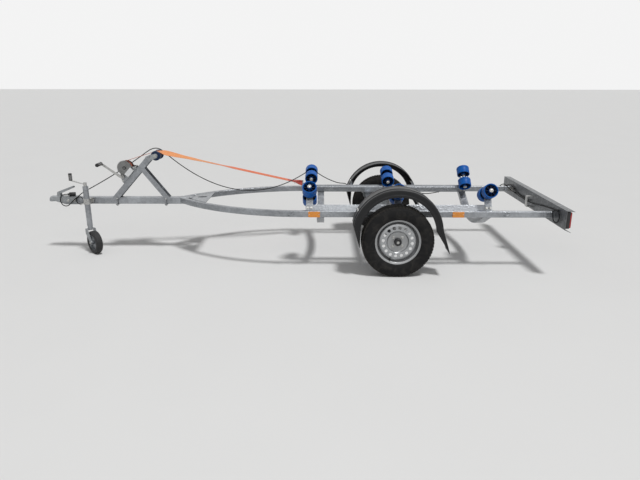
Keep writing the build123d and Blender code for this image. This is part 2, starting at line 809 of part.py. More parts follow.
def make_coupling():
    """Ball coupling: sleeve over the drawbar, tapering neck, ball housing and handle ears."""
    half = drawbar_size / 2 + coupling_wall
    middle = frame_top - drawbar_size / 2
    sleeve = block(xa(drawbar_front), xa(coupling_sleeve_rear), -half, half, middle - half, middle + half)
    inner = drawbar_size / 2
    sleeve -= block(
        xa(drawbar_front), xa(coupling_sleeve_rear), -inner, inner, middle - inner, middle + inner
    )
    housing_radius = ball_radius + ball_play + ball_shell
    ball_x = xa(-nose_reach) + housing_radius
    neck_bottom = ball_mouth_z + coupling_throat
    neck_top = ball_centre_z + housing_radius - coupling_neck_step
    rear_plane = Plane((xa(drawbar_front), 0, middle), x_dir=(0, 1, 0), z_dir=(-1, 0, 0))
    front_plane = Plane((ball_x, 0, (neck_bottom + neck_top) / 2), x_dir=(0, 1, 0), z_dir=(-1, 0, 0))
    neck_width = 2 * (housing_radius - coupling_neck_step)
    neck = loft([
        rear_plane * RectangleRounded(2 * half, 2 * half, tube_corner),
        front_plane * RectangleRounded(neck_width, neck_top - neck_bottom, tube_corner),
    ])
    dome = Pos(ball_x, 0, ball_centre_z) * Sphere(housing_radius)
    dome &= block(
        ball_x - half, ball_x + half, -half, half, ball_centre_z, ball_centre_z + housing_radius
    )
    skirt = bar((ball_x, 0, ball_mouth_z), (ball_x, 0, ball_centre_z), housing_radius)
    coupling = sleeve + neck + dome + skirt
    socket = Pos(ball_x, 0, ball_centre_z) * Sphere(ball_radius + ball_play)
    coupling -= socket
    coupling -= bar((ball_x, 0, ball_mouth_z - half), (ball_x, 0, ball_centre_z), ball_radius + ball_play)
    pivot = (xa(handle_pivot_station), handle_pivot_z)
    ear_foot = ball_centre_z
    ear_outline = make_hull(
        (Pos(*pivot) * Circle(handle_ear_radius)
         + Pos(pivot[0], ear_foot) * Rectangle(handle_ear_foot, 2)).edges()
    )
    gap = handle_width / 2 + running_gap
    for y0, y1 in ((-gap - coupling_wall, -gap), (gap, gap + coupling_wall)):
        coupling += side_plate(ear_outline, y0, y1)
    hole = y_cylinder(pivot[0], -half, half, pivot[1], handle_pin_radius + pin_play)
    return coupling - hole


def make_handle():
    """Stamped lever with a finger grip, on its pivot pin."""
    pivot = (xa(handle_pivot_station), handle_pivot_z)
    grip = (xa(handle_grip_station), handle_grip_z)
    half = handle_width / 2
    ends = Pos(*pivot) * Circle(handle_boss_radius) + Pos(*grip) * Circle(handle_grip_radius)
    lever = side_plate(make_hull(ends.edges()), -half, half)
    slope = math.degrees(math.atan2(grip[1] - pivot[1], grip[0] - pivot[0]))
    length = math.dist(pivot, grip)
    slot = block(
        handle_boss_radius, length + handle_boss_radius, -half + handle_wall, half - handle_wall,
        -handle_boss_radius, handle_grip_radius - handle_wall - 1,
    )
    lever -= Pos(pivot[0], 0, pivot[1]) * Rot(0, -slope, 0) * slot
    reach = half + running_gap + coupling_wall
    return lever + y_cylinder(pivot[0], -reach, reach, pivot[1], handle_pin_radius)


def make_jockey_clamp():
    """Clamp on the drawbar's left side, with its tightening screw and tee handle."""
    x = xa(jockey_station)
    z0, z1 = frame_top - clamp_height, frame_top
    middle = (z0 + z1) / 2
    side = -drawbar_size / 2
    outer = jockey_tube_radius + clamp_wall
    clamp = block(x - clamp_half, x + clamp_half, side - clamp_plate, side, z0, z1)
    clamp += bar((x, jockey_y, z0), (x, jockey_y, z1), outer)
    back = side - clamp_plate / 2
    clamp += block(x - jockey_tube_radius, x + jockey_tube_radius, jockey_y, back, z0 + 2, z1 - 2)
    clamp -= bar((x, jockey_y, z0 - 1), (x, jockey_y, z1 + 1), jockey_tube_radius + pin_play)
    screw_end = jockey_y - outer - tee_reach
    clamp += y_cylinder(x, screw_end, jockey_y - outer + clamp_wall / 2, middle, tee_radius)
    return clamp + bar(
        (x - tee_half, screw_end, middle - tee_half / 2), (x + tee_half, screw_end, middle + tee_half / 2),
        tee_radius - 1,
    )


def make_jockey_leg():
    """Outer tube with its cap and the neck that the crank turns on."""
    x = xa(jockey_station)
    inner = jockey_tube_radius - jockey_tube_wall
    leg = pipe((x, jockey_y, jockey_tube_bottom), (x, jockey_y, jockey_tube_top), jockey_tube_radius, inner)
    cap_top = jockey_tube_top + jockey_cap
    leg += bar((x, jockey_y, jockey_tube_top), (x, jockey_y, cap_top), jockey_tube_radius)
    return leg + bar((x, jockey_y, cap_top), (x, jockey_y, jockey_neck_top), jockey_neck_radius)


def make_jockey_inner():
    """Inner tube, closed at the foot by a plug with the king pin's hole."""
    x = xa(jockey_station)
    outer = jockey_tube_radius - jockey_tube_wall - pin_play
    bottom = (x, jockey_y, jockey_inner_bottom)
    tube = pipe(bottom, (x, jockey_y, jockey_inner_top), outer, outer - jockey_inner_wall)
    top = (x, jockey_y, jockey_inner_bottom + king_pin_length)
    return tube + pipe(bottom, top, outer, king_pin_radius + pin_play)


def jockey_turn():
    """Location that swings the fork about its king pin to where it stands."""
    return Location((xa(jockey_station), jockey_y, 0), (0, 0, jockey_yaw))


def make_jockey_fork():
    """Swivelling fork with king pin, crown, two plates and the wheel's axle."""
    crown_top = jockey_inner_bottom - running_gap
    crown_bottom = crown_top - jockey_crown
    half = jockey_wheel_width / 2 + jockey_side_gap
    axle_z = jockey_wheel_radius
    fork = block(-jockey_plate_radius, jockey_plate_radius, -half, half, crown_bottom, crown_top)
    fork += bar((0, 0, crown_bottom), (0, 0, crown_top + king_pin_length), king_pin_radius)
    outline = make_hull(
        (Pos(0, crown_top - jockey_plate_radius) * Rectangle(2 * jockey_plate_radius, 2 * jockey_plate_radius)
         + Pos(jockey_trail, axle_z) * Circle(jockey_axle_eye)).edges()
    )
    for y0, y1 in ((-half - jockey_fork_wall, -half), (half, half + jockey_fork_wall)):
        fork += side_plate(outline, y0, y1)
    reach = half + jockey_fork_wall + jockey_nut
    return jockey_turn() * (fork + y_cylinder(jockey_trail, -reach, reach, axle_z, jockey_axle_radius))


def jockey_wheel_band(radius, inner, width, rounding):
    """Ring about the jockey wheel's axle."""
    ring = y_cylinder(jockey_trail, -width / 2, width / 2, jockey_wheel_radius, radius)
    if rounding:
        ring = fillet(ring.edges().filter_by(GeomType.CIRCLE), rounding)
    return ring - y_cylinder(jockey_trail, -width, width, jockey_wheel_radius, inner)


def make_jockey_tyre():
    """Solid rubber tyre."""
    return jockey_turn() * jockey_wheel_band(
        jockey_wheel_radius, jockey_rim_radius, jockey_wheel_width, jockey_rounding
    )


def make_jockey_rim():
    """Pressed rim: band, dished web and hub tube."""
    hub_bore = jockey_axle_radius + pin_play
    width = jockey_wheel_width - 2 * jockey_side_gap
    rim = jockey_wheel_band(jockey_rim_radius, jockey_rim_radius - jockey_inner_wall, width, 0)
    rim += jockey_wheel_band(jockey_rim_radius, hub_bore, jockey_web, 0)
    rim += jockey_wheel_band(jockey_hub_radius, hub_bore, jockey_wheel_width + jockey_side_gap, 0)
    return jockey_turn() * rim


def make_jockey_crank():
    """Crank on top of the jockey leg: collar, rising arm and upright grip."""
    x = xa(jockey_station)
    collar_bottom = jockey_tube_top + jockey_cap + running_gap
    collar_top = jockey_neck_top + jockey_cap
    grip_x = x - jockey_crank_length
    arm_z = (collar_bottom + collar_top) / 2
    grip_foot = arm_z + jockey_crank_rise
    crank = bar((x, jockey_y, collar_bottom), (x, jockey_y, collar_top), 2 * jockey_neck_radius)
    crank += bar((x, jockey_y, arm_z), (grip_x, jockey_y, grip_foot), jockey_arm_radius)
    crank += Pos(grip_x, jockey_y, grip_foot) * Sphere(jockey_arm_radius)
    bore = jockey_neck_radius + pin_play
    crank -= bar((x, jockey_y, collar_bottom - 1), (x, jockey_y, jockey_neck_top + running_gap), bore)
    grip_top = grip_foot + jockey_grip_length
    grip = bar((grip_x, jockey_y, grip_foot), (grip_x, jockey_y, grip_top), jockey_grip_radius)
    return crank + fillet(grip.edges().filter_by(GeomType.CIRCLE), jockey_grip_radius / 2)


def leg_point(along, out):
    """X and Z measured up the winch post from its foot, and square out of its front."""
    lean = math.radians(post_lean)
    x = xa(post_foot_station) + along * math.cos(lean) - out * math.sin(lean)
    return x, frame_top + along * math.sin(lean) + out * math.cos(lean)


def leg_place(along, out):
    """Location on the winch post: local X runs up the post, local Z out of its front."""
    x, z = leg_point(along, out)
    return Location((x, 0, z), (0, -post_lean, 0))


def channel(start, end, depth, web_side):
    """Channel along local X whose web is on one side of local Z."""
    inner = drawbar_size / 2 + channel_play
    outer = inner + channel_wall
    web_face = web_side * depth / 2
    web_back = web_face - web_side * channel_wall
    solid = block(start, end, -outer, outer, -depth / 2, depth / 2)
    return solid - block(
        start, end, -inner, inner, min(web_back, -web_face), max(web_back, -web_face)
    )


def cut_foot(strut):
    """Seat a strut on the drawbar: the web stops on top, the flanges straddle the sides."""
    inner = drawbar_size / 2 + channel_play
    reach = nose_reach
    low = block(-reach, reach, -reach, reach, -reach, frame_top - channel_skirt)
    between = block(-reach, reach, -inner, inner, -reach, frame_top)
    return strut - low - between


def make_winch_post():
    """Front strut, a channel open to the rear."""
    return cut_foot(leg_place(0, 0) * channel(-2 * channel_depth, post_length, channel_depth, 1))


def make_winch_brace():
    """Rear strut, a channel open upwards, cut off against the post's flanges."""
    place = Location((xa(brace_foot_station), 0, frame_top), (0, brace_lean, 0))
    length = post_length
    strut = place * channel(-length, 2 * brace_depth, brace_depth, -1)
    strut = cut_foot(strut)
    x, z = leg_point(0, -channel_depth / 2)
    lean = math.radians(post_lean)
    plane = Plane((x, 0, z), x_dir=(0, 1, 0), z_dir=(math.sin(lean), 0, -math.cos(lean)))
    return split(strut, bisect_by=plane, keep=Keep.TOP)


def make_post_clamps():
    """Strap, studs and lugs that clamp each strut's foot to the drawbar."""
    outer = drawbar_size / 2 + channel_play + channel_wall
    stud_y = outer + clamp_bolt_radius + pin_play
    bottom = frame_top - drawbar_size
    lug_z = frame_top - channel_skirt + clamp_strap
    half = clamp_bolt_radius + clamp_strap
    lug_end = stud_y + half
    clamps = []
    for station in (post_foot_station + clamp_shift, brace_foot_station - clamp_shift):
        x = xa(station)
        clamp = block(x - half, x + half, -lug_end, lug_end, bottom - clamp_strap, bottom)
        for s in (-1, 1):
            y = s * stud_y
            clamp += bar((x, y, bottom - 2 * clamp_strap), (x, y, lug_z + 2 * clamp_strap), clamp_bolt_radius)
            y0, y1 = sorted((s * outer, s * lug_end))
            clamp += block(x - half, x + half, y0, y1, lug_z, lug_z + clamp_strap)
        clamps.append(clamp)
    return clamps


def bow_pivot():
    """X and Z of the bow roller's pin."""
    return leg_point(bow_roller_along, -bow_roller_out)


def make_bow_bracket():
    """Yoke on top of the post, with slotted cheeks and the bow roller's pin."""
    inner = bow_roller_length / 2 + bow_cheek_play
    outer = inner + bow_cheek
    half = channel_depth / 2
    web = leg_place(post_length, 0) * block(0, bow_cheek, -outer, outer, -half, half)
    eye = Pos(bow_roller_along - post_length, -bow_roller_out) * Circle(bow_eye_radius)
    foot = Pos(bow_cheek / 2, 0) * Rectangle(bow_cheek, channel_depth)
    cheek = make_hull((eye + foot).edges())
    slot = Pos(bow_slot_along, bow_slot_out) * Rot(0, 0, bow_slot_turn)
    slot = slot * SlotOverall(bow_slot_length, bow_slot_width)
    bracket = web
    for y0 in (-outer, inner):
        bracket += leg_place(post_length, 0) * side_plate(cheek - slot, y0, y0 + bow_cheek)
    x, z = bow_pivot()
    head = outer + bow_cheek
    bracket += y_cylinder(x, -head, head, z, bow_pin_radius)
    for s in (-1, 1):
        bracket += y_cylinder(x, s * outer, s * head, z, 2 * bow_pin_radius)
    return bracket


def make_bow_roller():
    """Waisted bow stop roller on its pin."""
    half = bow_roller_length / 2
    x, z = bow_pivot()
    bore = bow_pin_radius + pin_play
    outline = Polyline(
        (bore, -half), (bow_roller_radius - bow_edge, -half), (bow_roller_radius, -half + bow_edge),
        (bow_roller_radius, -half + bow_rim), (bow_roller_waist, -bow_waist_half),
        (bow_roller_waist, bow_waist_half),
        (bow_roller_radius, half - bow_rim), (bow_roller_radius, half - bow_edge),
        (bow_roller_radius - bow_edge, half), (bore, half),
        close=True,
    )
    plane = Plane((x, 0, z), x_dir=(1, 0, 0), z_dir=(0, 0, 1))
    return revolve(plane * make_face(outline), Axis((x, 0, z), (0, 1, 0)))


def make_winch_frame():
    """Winch frame: base on the post's front and two side plates with shaft holes."""
    half_depth = channel_depth / 2
    outer = winch_plate_y + winch_plate
    base = leg_place(0, 0) * block(
        winch_plate_front, winch_plate_back, -outer, outer, half_depth, half_depth + winch_base
    )
    drum = Pos(winch_drum_along, winch_drum_out) * Circle(winch_drum_boss)
    crank = Pos(winch_crank_along, winch_crank_out) * Circle(winch_crank_boss)
    foot = Pos((winch_plate_front + winch_plate_back) / 2, half_depth + winch_base) * Rectangle(
        winch_plate_back - winch_plate_front, 2 * winch_base
    )
    outline = make_hull((drum + crank + foot).edges())
    room = Pos((winch_plate_front + winch_plate_back) / 2, half_depth + post_length / 2) * Rectangle(
        post_length, post_length
    )
    frame = base
    for y0 in (-outer, winch_plate_y):
        frame += leg_place(0, 0) * side_plate(outline & room, y0, y0 + winch_plate)
    for along, out in ((winch_drum_along, winch_drum_out), (winch_crank_along, winch_crank_out)):
        x, z = leg_point(along, out)
        frame -= y_cylinder(x, -2 * outer, 2 * outer, z, winch_shaft_radius + pin_play)
    return frame


def gear_outline(teeth):
    """Spur gear outline with involute flanks, one tooth centred on local X."""
    pitch = gear_module * teeth / 2
    base = pitch * math.cos(math.radians(pressure_angle))
    tip = pitch + gear_addendum * gear_module
    root = pitch - (gear_addendum + gear_root_gap) * gear_module
    half_tooth = (math.pi * gear_module / 2 - gear_backlash) / (2 * pitch)
    roll = math.radians(pressure_angle)
    widest = half_tooth + math.tan(roll) - roll

    def half_angle(radius):
        turn = math.acos(min(1, base / radius))
        return widest - math.tan(turn) + turn

    flank = [max(root, base), pitch, tip] if root > base else [base, (base + pitch) / 2, pitch, tip]
    points = []
    for index in range(teeth):
        centre = 2 * math.pi * index / teeth
        rise = [(root, centre - half_angle(flank[0]))] if root < flank[0] else []
        rise += [(radius, centre - half_angle(radius)) for radius in flank]
        fall = [(radius, 2 * centre - angle) for radius, angle in reversed(rise)]
        points += [(radius * math.cos(angle), radius * math.sin(angle)) for radius, angle in rise + fall]
    return make_face(Polyline(*points, close=True))


def gear_layer():
    """Y range of the gears, outside the left side plate."""
    outer = -(winch_plate_y + winch_plate + gear_clearance)
    return outer - gear_thickness, outer


def make_winch_drum():
    """Drum with its flanges, shaft and the large gear."""
    x, z = leg_point(winch_drum_along, winch_drum_out)
    y0, y1 = gear_layer()
    flange_y = winch_plate_y - gear_clearance
    drum = y_cylinder(x, -flange_y, flange_y, z, drum_core_radius)
    for s in (-1, 1):
        drum += y_cylinder(x, s * (flange_y - drum_flange), s * flange_y, z, drum_flange_radius)
    shaft_end = winch_plate_y + winch_plate + shaft_reach
    drum += y_cylinder(x, y0 - shaft_reach, shaft_end, z, winch_shaft_radius)
    crank_x, crank_z = leg_point(winch_crank_along, winch_crank_out)
    towards = math.degrees(math.atan2(crank_z - z, crank_x - x))
    gear = Rot(0, 0, towards + 180 / gear_teeth) * gear_outline(gear_teeth)
    drum += side_plate(Pos(x, z) * gear, y0, y1)
    return drum + y_cylinder(x, y1, y1 + gear_clearance / 2, z, 2 * winch_shaft_radius)


def make_winch_crank():
    """Crank shaft with its pinion, flat crank bar and grip."""
    x, z = leg_point(winch_crank_along, winch_crank_out)
    y0, y1 = gear_layer()
    shaft_end = winch_plate_y + winch_plate + shaft_reach
    bar_front = y0 - crank_offset
    bar_back = bar_front + crank_bar_thickness
    crank = y_cylinder(x, bar_front - shaft_reach, shaft_end, z, winch_shaft_radius)
    drum_x, drum_z = leg_point(winch_drum_along, winch_drum_out)
    towards = math.degrees(math.atan2(drum_z - z, drum_x - x))
    pinion = Rot(0, 0, towards) * gear_outline(pinion_teeth)
    crank += side_plate(Pos(x, z) * pinion, y0, y1)
    turn = math.radians(crank_angle)
    grip_x, grip_z = x + crank_length * math.cos(turn), z + crank_length * math.sin(turn)
    ends = Pos(x, z) * Circle(crank_bar / 2 + 2) + Pos(grip_x, grip_z) * Circle(crank_bar / 2)
    crank += side_plate(make_hull(ends.edges()), bar_front, bar_back)
    grip = y_cylinder(grip_x, bar_front - grip_length, bar_front, grip_z, grip_radius)
    return crank + fillet(grip.edges().filter_by(GeomType.CIRCLE), grip_radius / 3)


def make_wound_strap():
    """Strap wound on the drum."""
    x, z = leg_point(winch_drum_along, winch_drum_out)
    half = strap_width / 2
    return y_cylinder(x, -half, half, z, wound_radius) - y_cylinder(x, -half, half, z, drum_core_radius)


def strap_tangents():
    """X and Z where the strap leaves the wound drum and where it meets the bow roller."""
    start = Vector(*leg_point(winch_drum_along, winch_drum_out))
    end = Vector(*bow_pivot())
    first = wound_radius + running_gap + strap_thickness / 2
    second = bow_roller_waist + running_gap + strap_thickness / 2
    span = end - start
    lean = math.atan2(span.Y, span.X)
    normal = lean + math.acos((first - second) / span.length)
    leave = start + Vector(math.cos(normal), math.sin(normal)) * first
    meet = end + Vector(math.cos(normal), math.sin(normal)) * second
    return (leave.X, leave.Y), (meet.X, meet.Y), math.degrees(normal)


def strap_out():
    """Where the strap leaves the bow roller, the turn there, and its run from there to the hook."""
    centre = bow_pivot()
    second = bow_roller_waist + running_gap + strap_thickness / 2
    hook = (xa(strap_hook_point[0]), strap_hook_point[2])
    reach = Vector(hook[0] - centre[0], hook[1] - centre[1])
    turn = math.atan2(reach.Y, reach.X) + math.acos(second / reach.length)
    part = (centre[0] + second * math.cos(turn), centre[1] + second * math.sin(turn))
    return part, turn, Vector(hook[0] - part[0], strap_hook_point[1], hook[1] - part[1])


def make_strap_run():
    """Free strap: drum to bow roller, round the roller, then out to its hook."""
    leave, meet, angle = strap_tangents()
    centre = bow_pivot()
    second = bow_roller_waist + running_gap + strap_thickness / 2
    part, turn, run = strap_out()
    half = strap_thickness / 2
    lean = math.radians(angle)
    offset = (half * math.cos(lean), half * math.sin(lean))
    rise = Polyline(
        (leave[0] - offset[0], leave[1] - offset[1]), (meet[0] - offset[0], meet[1] - offset[1]),
        (meet[0] + offset[0], meet[1] + offset[1]), (leave[0] + offset[0], leave[1] + offset[1]),
        close=True,
    )
    side = strap_width / 2
    strap = side_plate(make_face(rise), -side, side)
    ring = Pos(*centre) * (Circle(second + half) - Circle(second - half))
    wedge = make_face(Polyline(centre, *[
        (centre[0] + 2 * second * math.cos(a), centre[1] + 2 * second * math.sin(a))
        for a in (lean, (lean + turn) / 2, turn)
    ], close=True))
    strap += side_plate(ring & wedge, -side, side)
    start_plane = Plane((part[0], 0, part[1]), x_dir=(0, 1, 0), z_dir=(-math.sin(turn), 0, math.cos(turn)))
    if start_plane.z_dir.X < 0:
        start_plane = Plane(start_plane.origin, x_dir=(0, 1, 0), z_dir=-start_plane.z_dir)
    section = Rectangle(strap_width, strap_thickness)
    sections = [start_plane * section]
    for index in range(1, strap_twist_steps + 1):
        share = index / strap_twist_steps
        plane = Plane(Vector(part[0], 0, part[1]) + run * share, x_dir=(0, 1, 0), z_dir=run)
        sections.append(plane * Rot(0, 0, strap_twist * share) * section)
    return strap + loft(sections, ruled=True)


def make_strap_hook():
    """Bent bar hook from the strap's end into the open end of the right bearer."""
    station, strap_y, strap_z = strap_hook_point
    strap_end = Plane((xa(station), strap_y, strap_z), x_dir=(0, 1, 0), z_dir=strap_out()[2])
    end = strap_end.origin + strap_end.z_dir * (hook_radius + running_gap)
    inside_y, inside_z = arm_point(1, 0, bearer_height - tube_wall - hook_radius - running_gap)
    path = FilletPolyline(
        end, (xa(bearer_front - 30), strap_y + 10, strap_z - 10), (xa(bearer_front - 18), inside_y, inside_z),
        (xa(bearer_front + 14), inside_y, inside_z),
        radius=hook_bend,
    )
    bent = sweep(Plane(path @ 0, z_dir=path % 0) * Circle(hook_radius), path)
    lean = math.radians(strap_twist)
    tip = (strap_end.x_dir * math.cos(lean) + strap_end.y_dir * math.sin(lean)) * (strap_width / 2)
    return bent + bar(end - tip, end + tip, hook_radius)


def cable_tube(name, corners):
    """Round cable along its corners; every bend takes 0.45 of the shorter run beside it."""
    points = [Vector(*corner) for corner in corners]
    radii = []
    for before, corner, after in zip(points, points[1:], points[2:]):
        turn = math.radians((corner - before).get_angle(after - corner))
        run = min((corner - before).length, (after - corner).length)
        radii.append(0.45 * run / math.tan(turn / 2))
    path = FilletPolyline(*points, radius=radii)
    tube = sweep(Plane(path @ 0, z_dir=path % 0) * Circle(cable_radius), path)
    section = math.pi * cable_radius ** 2
    print(name, "length", round(path.length), "radii", [round(radius) for radius in radii])
    print(name, "volume against section by length", round(tube.volume / (section * path.length), 4))
    return tube


def sagging(start, end, hang, count):
    """Corners of a slack span, without its end; its middle is moved by the vector hang."""
    first, last = Vector(*start), Vector(*end)
    shares = [0] + [(index + 0.5) / count for index in range(count)]
    return [
        tuple(first + (last - first) * share + Vector(*hang) * (4 * share * (1 - share))) for share in shares
    ]


def free_cable_route():
    """Corners of the free cable, from its last clip on the rail to the plug."""
    outer = rail_outer_y + cable_off
    name, side, station, reach, tilt = roller_groups[3]
    pivot_y, pivot_z = post_centre(side, reach)
    over = (pivot_y, pivot_z + cable_over_pivot)
    clip = cable_clip_station
    half = post_width / 2 + 10
    route = [
        (xa(clip), outer, cable_joint_z), (xa(clip), outer, frame_top + 6),
        (xa(clip - 20), outer - 8, frame_top + 21), (xa(clip - 46), outer - 26, frame_top + 26),
    ]
    route += sagging(
        (xa(clip - 80), outer - 46, frame_top + 32), (xa(station + half), *over), (0, 0, -16), 3
    )
    route += [(xa(station + half), *over)]
    roller_x, roller_z = bow_pivot()
    side_y = cable_over_roller
    rise = (roller_x + 22, side_y, roller_z + 46)
    route += sagging((xa(station - half), *over), rise, (0, -16, -268), 17)
    route += [
        rise, (roller_x - 20, side_y + 1, roller_z + 57), (roller_x - 65, side_y + 6, roller_z + 47),
    ]
    drawbar_top = (xa(loop_station + 22), drawbar_size / 2, frame_top + 44)
    route += sagging((roller_x - 110, side_y + 12, roller_z + 20), drawbar_top, (0, 24, -14), 6)
    near = -drawbar_size / 2 - 2 * cable_radius
    x = xa(loop_station)
    route += [drawbar_top, (x - 8, near / 12, frame_top + 23), (x - 22, near, frame_top + 5)]
    for index in range(7):
        angle = math.radians(163 + 45 * index)
        y = near - loop_off - 2.5 * index
        route.append((x + loop_radius * math.cos(angle), y, loop_z + loop_radius * math.sin(angle)))
    tip = xa(plug_station)
    plug_z = plug_height()
    route += [
        (x - 24, near - 23, loop_z + 26), (x - 60, near - 18, loop_z - 3), (x - 90, near - 14, loop_z - 35),
        (x - 124, near - 12, loop_z - 57), (x - 160, near - 12, loop_z - 47),
        (tip - 54, near - 11, loop_z - 12), (tip - 52, near - 6, loop_z + 23),
        (tip - 44, near + 6, plug_z - 6), (tip - 28, plug_y - 7, plug_z), (tip, plug_y, plug_z),
    ]
    return route


def plug_height():
    """Height of the plug's middle, lying on the coupling's sleeve."""
    return frame_top + coupling_wall + plug_radius + running_gap


def make_plug():
    """Round plug in line with the cable's end: a neck and a body."""
    before, end = [Vector(*corner) for corner in free_cable_route()[-2:]]
    along = (end - before).normalized()
    shoulder = end + along * (plug_length / 5)
    body = bar(shoulder, end + along * plug_length, plug_radius)
    return bar(end, shoulder, 2.2 * cable_radius) + chamfer(body.edges().filter_by(GeomType.CIRCLE), 2)


def make_held_cables():
    """Cables that the rail and the board hold: the main run and the right lamp's branch."""
    outer = rail_outer_y + cable_off
    start = (cable_clip_station, outer, cable_joint_z)
    main_run = cable_tube("held", [(xa(x), y, z) for x, y, z in (start, *rail_cable)])
    branch = cable_tube("branch", [(xa(x), y, z) for x, y, z in lamp_cable])
    return main_run, branch


def make_clip(start, end, share, foot):
    """Clip round one straight run of a cable, on a foot given by its corners in X and Y."""
    bore = cable_radius + pin_play
    outer = bore + clip_wall
    along = (Vector(*end) - Vector(*start)).normalized()
    middle = Vector(*start) * (1 - share) + Vector(*end) * share
    back = middle - along * (clip_length / 2)
    front = middle + along * (clip_length / 2)
    x0, x1, y0, y1 = foot(middle)
    top = max(middle.Z + outer, rail_bottom + outer)
    clip = bar(back, front, outer) + block(x0, x1, y0, y1, middle.Z - outer, top)
    return clip - bar(back - along * outer, front + along * outer, bore)


def rail_foot(middle):
    """Foot of a clip on the right rail's outer face."""
    half = clip_length / 2 - 1
    return middle.X - half, middle.X + half, rail_outer_y, middle.Y


def board_foot(middle):
    """Foot of a clip on the board's front face."""
    half = clip_length / 2 - 1
    return middle.X, xa(board_front), middle.Y - half, middle.Y + half


def make_cable_clips():
    """Clips on the right rail's outer face and on the board's front face."""
    outer = rail_outer_y + cable_off
    corners = [(xa(x), y, z) for x, y, z in ((cable_clip_station, outer, cable_joint_z), *rail_cable)]
    branch = [(xa(x), y, z) for x, y, z in lamp_cable]
    clips = [make_clip(corners[0], corners[1], 0.28, rail_foot)]
    clips += [make_clip(corners[run], corners[run + 1], 0.5, rail_foot) for run in rail_clip_index]
    clips += [make_clip(corners[run], corners[run + 1], 0.5, board_foot) for run in board_clip_index]
    return clips + [make_clip(branch[run], branch[run + 1], 0.5, board_foot) for run in branch_clip_index]


def make_light_board():
    """Folded board across the tail, with a lip along its top and bottom."""
    front = xa(board_front)
    top_end = (front + top_lip, board_top - top_lip_fall)
    bottom_end = (front + bottom_lip, board_bottom - bottom_lip_fall)
    sheet = board_sheet
    outline = Polyline(
        top_end, (front, board_top), (front, board_bottom), bottom_end,
        (bottom_end[0], bottom_end[1] + sheet), (front + sheet, board_bottom + sheet),
        (front + sheet, board_top - sheet), (top_end[0], top_end[1] - sheet),
        close=True,
    )
    return side_plate(make_face(outline), -board_half_width, board_half_width)


def lamp_place(side):
    """Middle of a lamp on the board's rear face."""
    y = side * (board_half_width - lamp_inset - lamp_width / 2)
    z = (board_top + board_bottom) / 2
    return xa(board_front) + board_sheet, y, z


def make_lamp_housings():
    """Black lamp bodies on the board's rear face."""
    bodies = []
    for side in (-1, 1):
        x, y, z = lamp_place(side)
        half_y, half_z = lamp_width / 2, lamp_height / 2
        body = block(x, x + lamp_depth, y - half_y, y + half_y, z - half_z, z + half_z)
        bodies.append(fillet(body.edges().filter_by(Axis.X), lamp_rounding))
    return bodies


def make_lamp_lenses():
    """Lenses on the lamp bodies."""
    lenses = []
    for side in (-1, 1):
        x, y, z = lamp_place(side)
        half_y = lamp_width / 2 - lens_rim
        half_z = lamp_height / 2 - lens_rim
        front = x + lamp_depth
        lens = block(front, front + lens_depth, y - half_y, y + half_y, z - half_z, z + half_z)
        lens = fillet(lens.edges().filter_by(Axis.X), lamp_rounding)
        lenses.append(chamfer(lens.faces().sort_by(Axis.X)[-1].edges(), lens_chamfer))
    return lenses


def make_board_brackets():
    """Angles that hold the board to the rails, and the folded cable bracket at its middle."""
    front = xa(board_front)
    brackets = []
    wall = board_angle_wall
    z0, z1 = rail_bottom + tube_corner, frame_top - tube_corner
    for s in (-1, 1):
        inner = s * rail_inner_y
        y0, y1 = sorted((inner, inner - s * wall))
        angle = block(front - board_angle, front, y0, y1, z0, z1)
        y0, y1 = sorted((inner, inner - s * board_angle))
        angle += block(front - wall, front, y0, y1, z0, z1)
        brackets.append(angle)
    half = board_bracket_width / 2
    middle = (board_top + board_bottom) / 2
    z0, z1 = middle - board_bracket_height / 2, middle + board_bracket_height / 2
    y0, y1 = board_bracket_y - half, board_bracket_y + half
    fold = block(front - board_bracket_depth, front, y0, y1, z0, z1)
    fold -= block(front - board_bracket_depth + wall, front, y0, y1, z0 + wall, z1 - wall)
    return brackets + [fold]


def make_reflectors():
    """Amber reflectors on the outer faces of the rails."""
    middle = frame_top - rail_height / 2
    plates = []
    for station in reflector_stations:
        for s in (-1, 1):
            x = xa(station)
            y0, y1 = sorted((s * rail_outer_y, s * (rail_outer_y + reflector_depth)))
            plate = block(
                x - reflector_length / 2, x + reflector_length / 2, y0, y1,
                middle - reflector_height / 2, middle + reflector_height / 2,
            )
            plates.append(fillet(plate.edges().filter_by(Axis.Y), reflector_rounding))
    return plates


def make_lashing_eyes():
    """Bent bar eyes welded to the rails' outer faces, leaning rearwards."""
    middle = frame_top - rail_height / 2
    eyes = []
    for station in eye_stations:
        for s in (-1, 1):
            half = eye_span / 2
            path = FilletPolyline(
                (-half, 0), (-half * eye_taper, s * eye_reach), (half * eye_taper, s * eye_reach), (half, 0),
                radius=eye_bend,
            )
            start = path @ 0
            eye = sweep(Plane(start, z_dir=path % 0) * Circle(eye_bar_radius), path)
            keep = block(-eye_span, eye_span, *sorted((0, s * 2 * eye_reach)), -eye_span, eye_span)
            place = rail_outer_place(s, station, middle) * Rot(0, eye_lean, 0)
            eyes.append(place * (eye & keep))
    return eyes


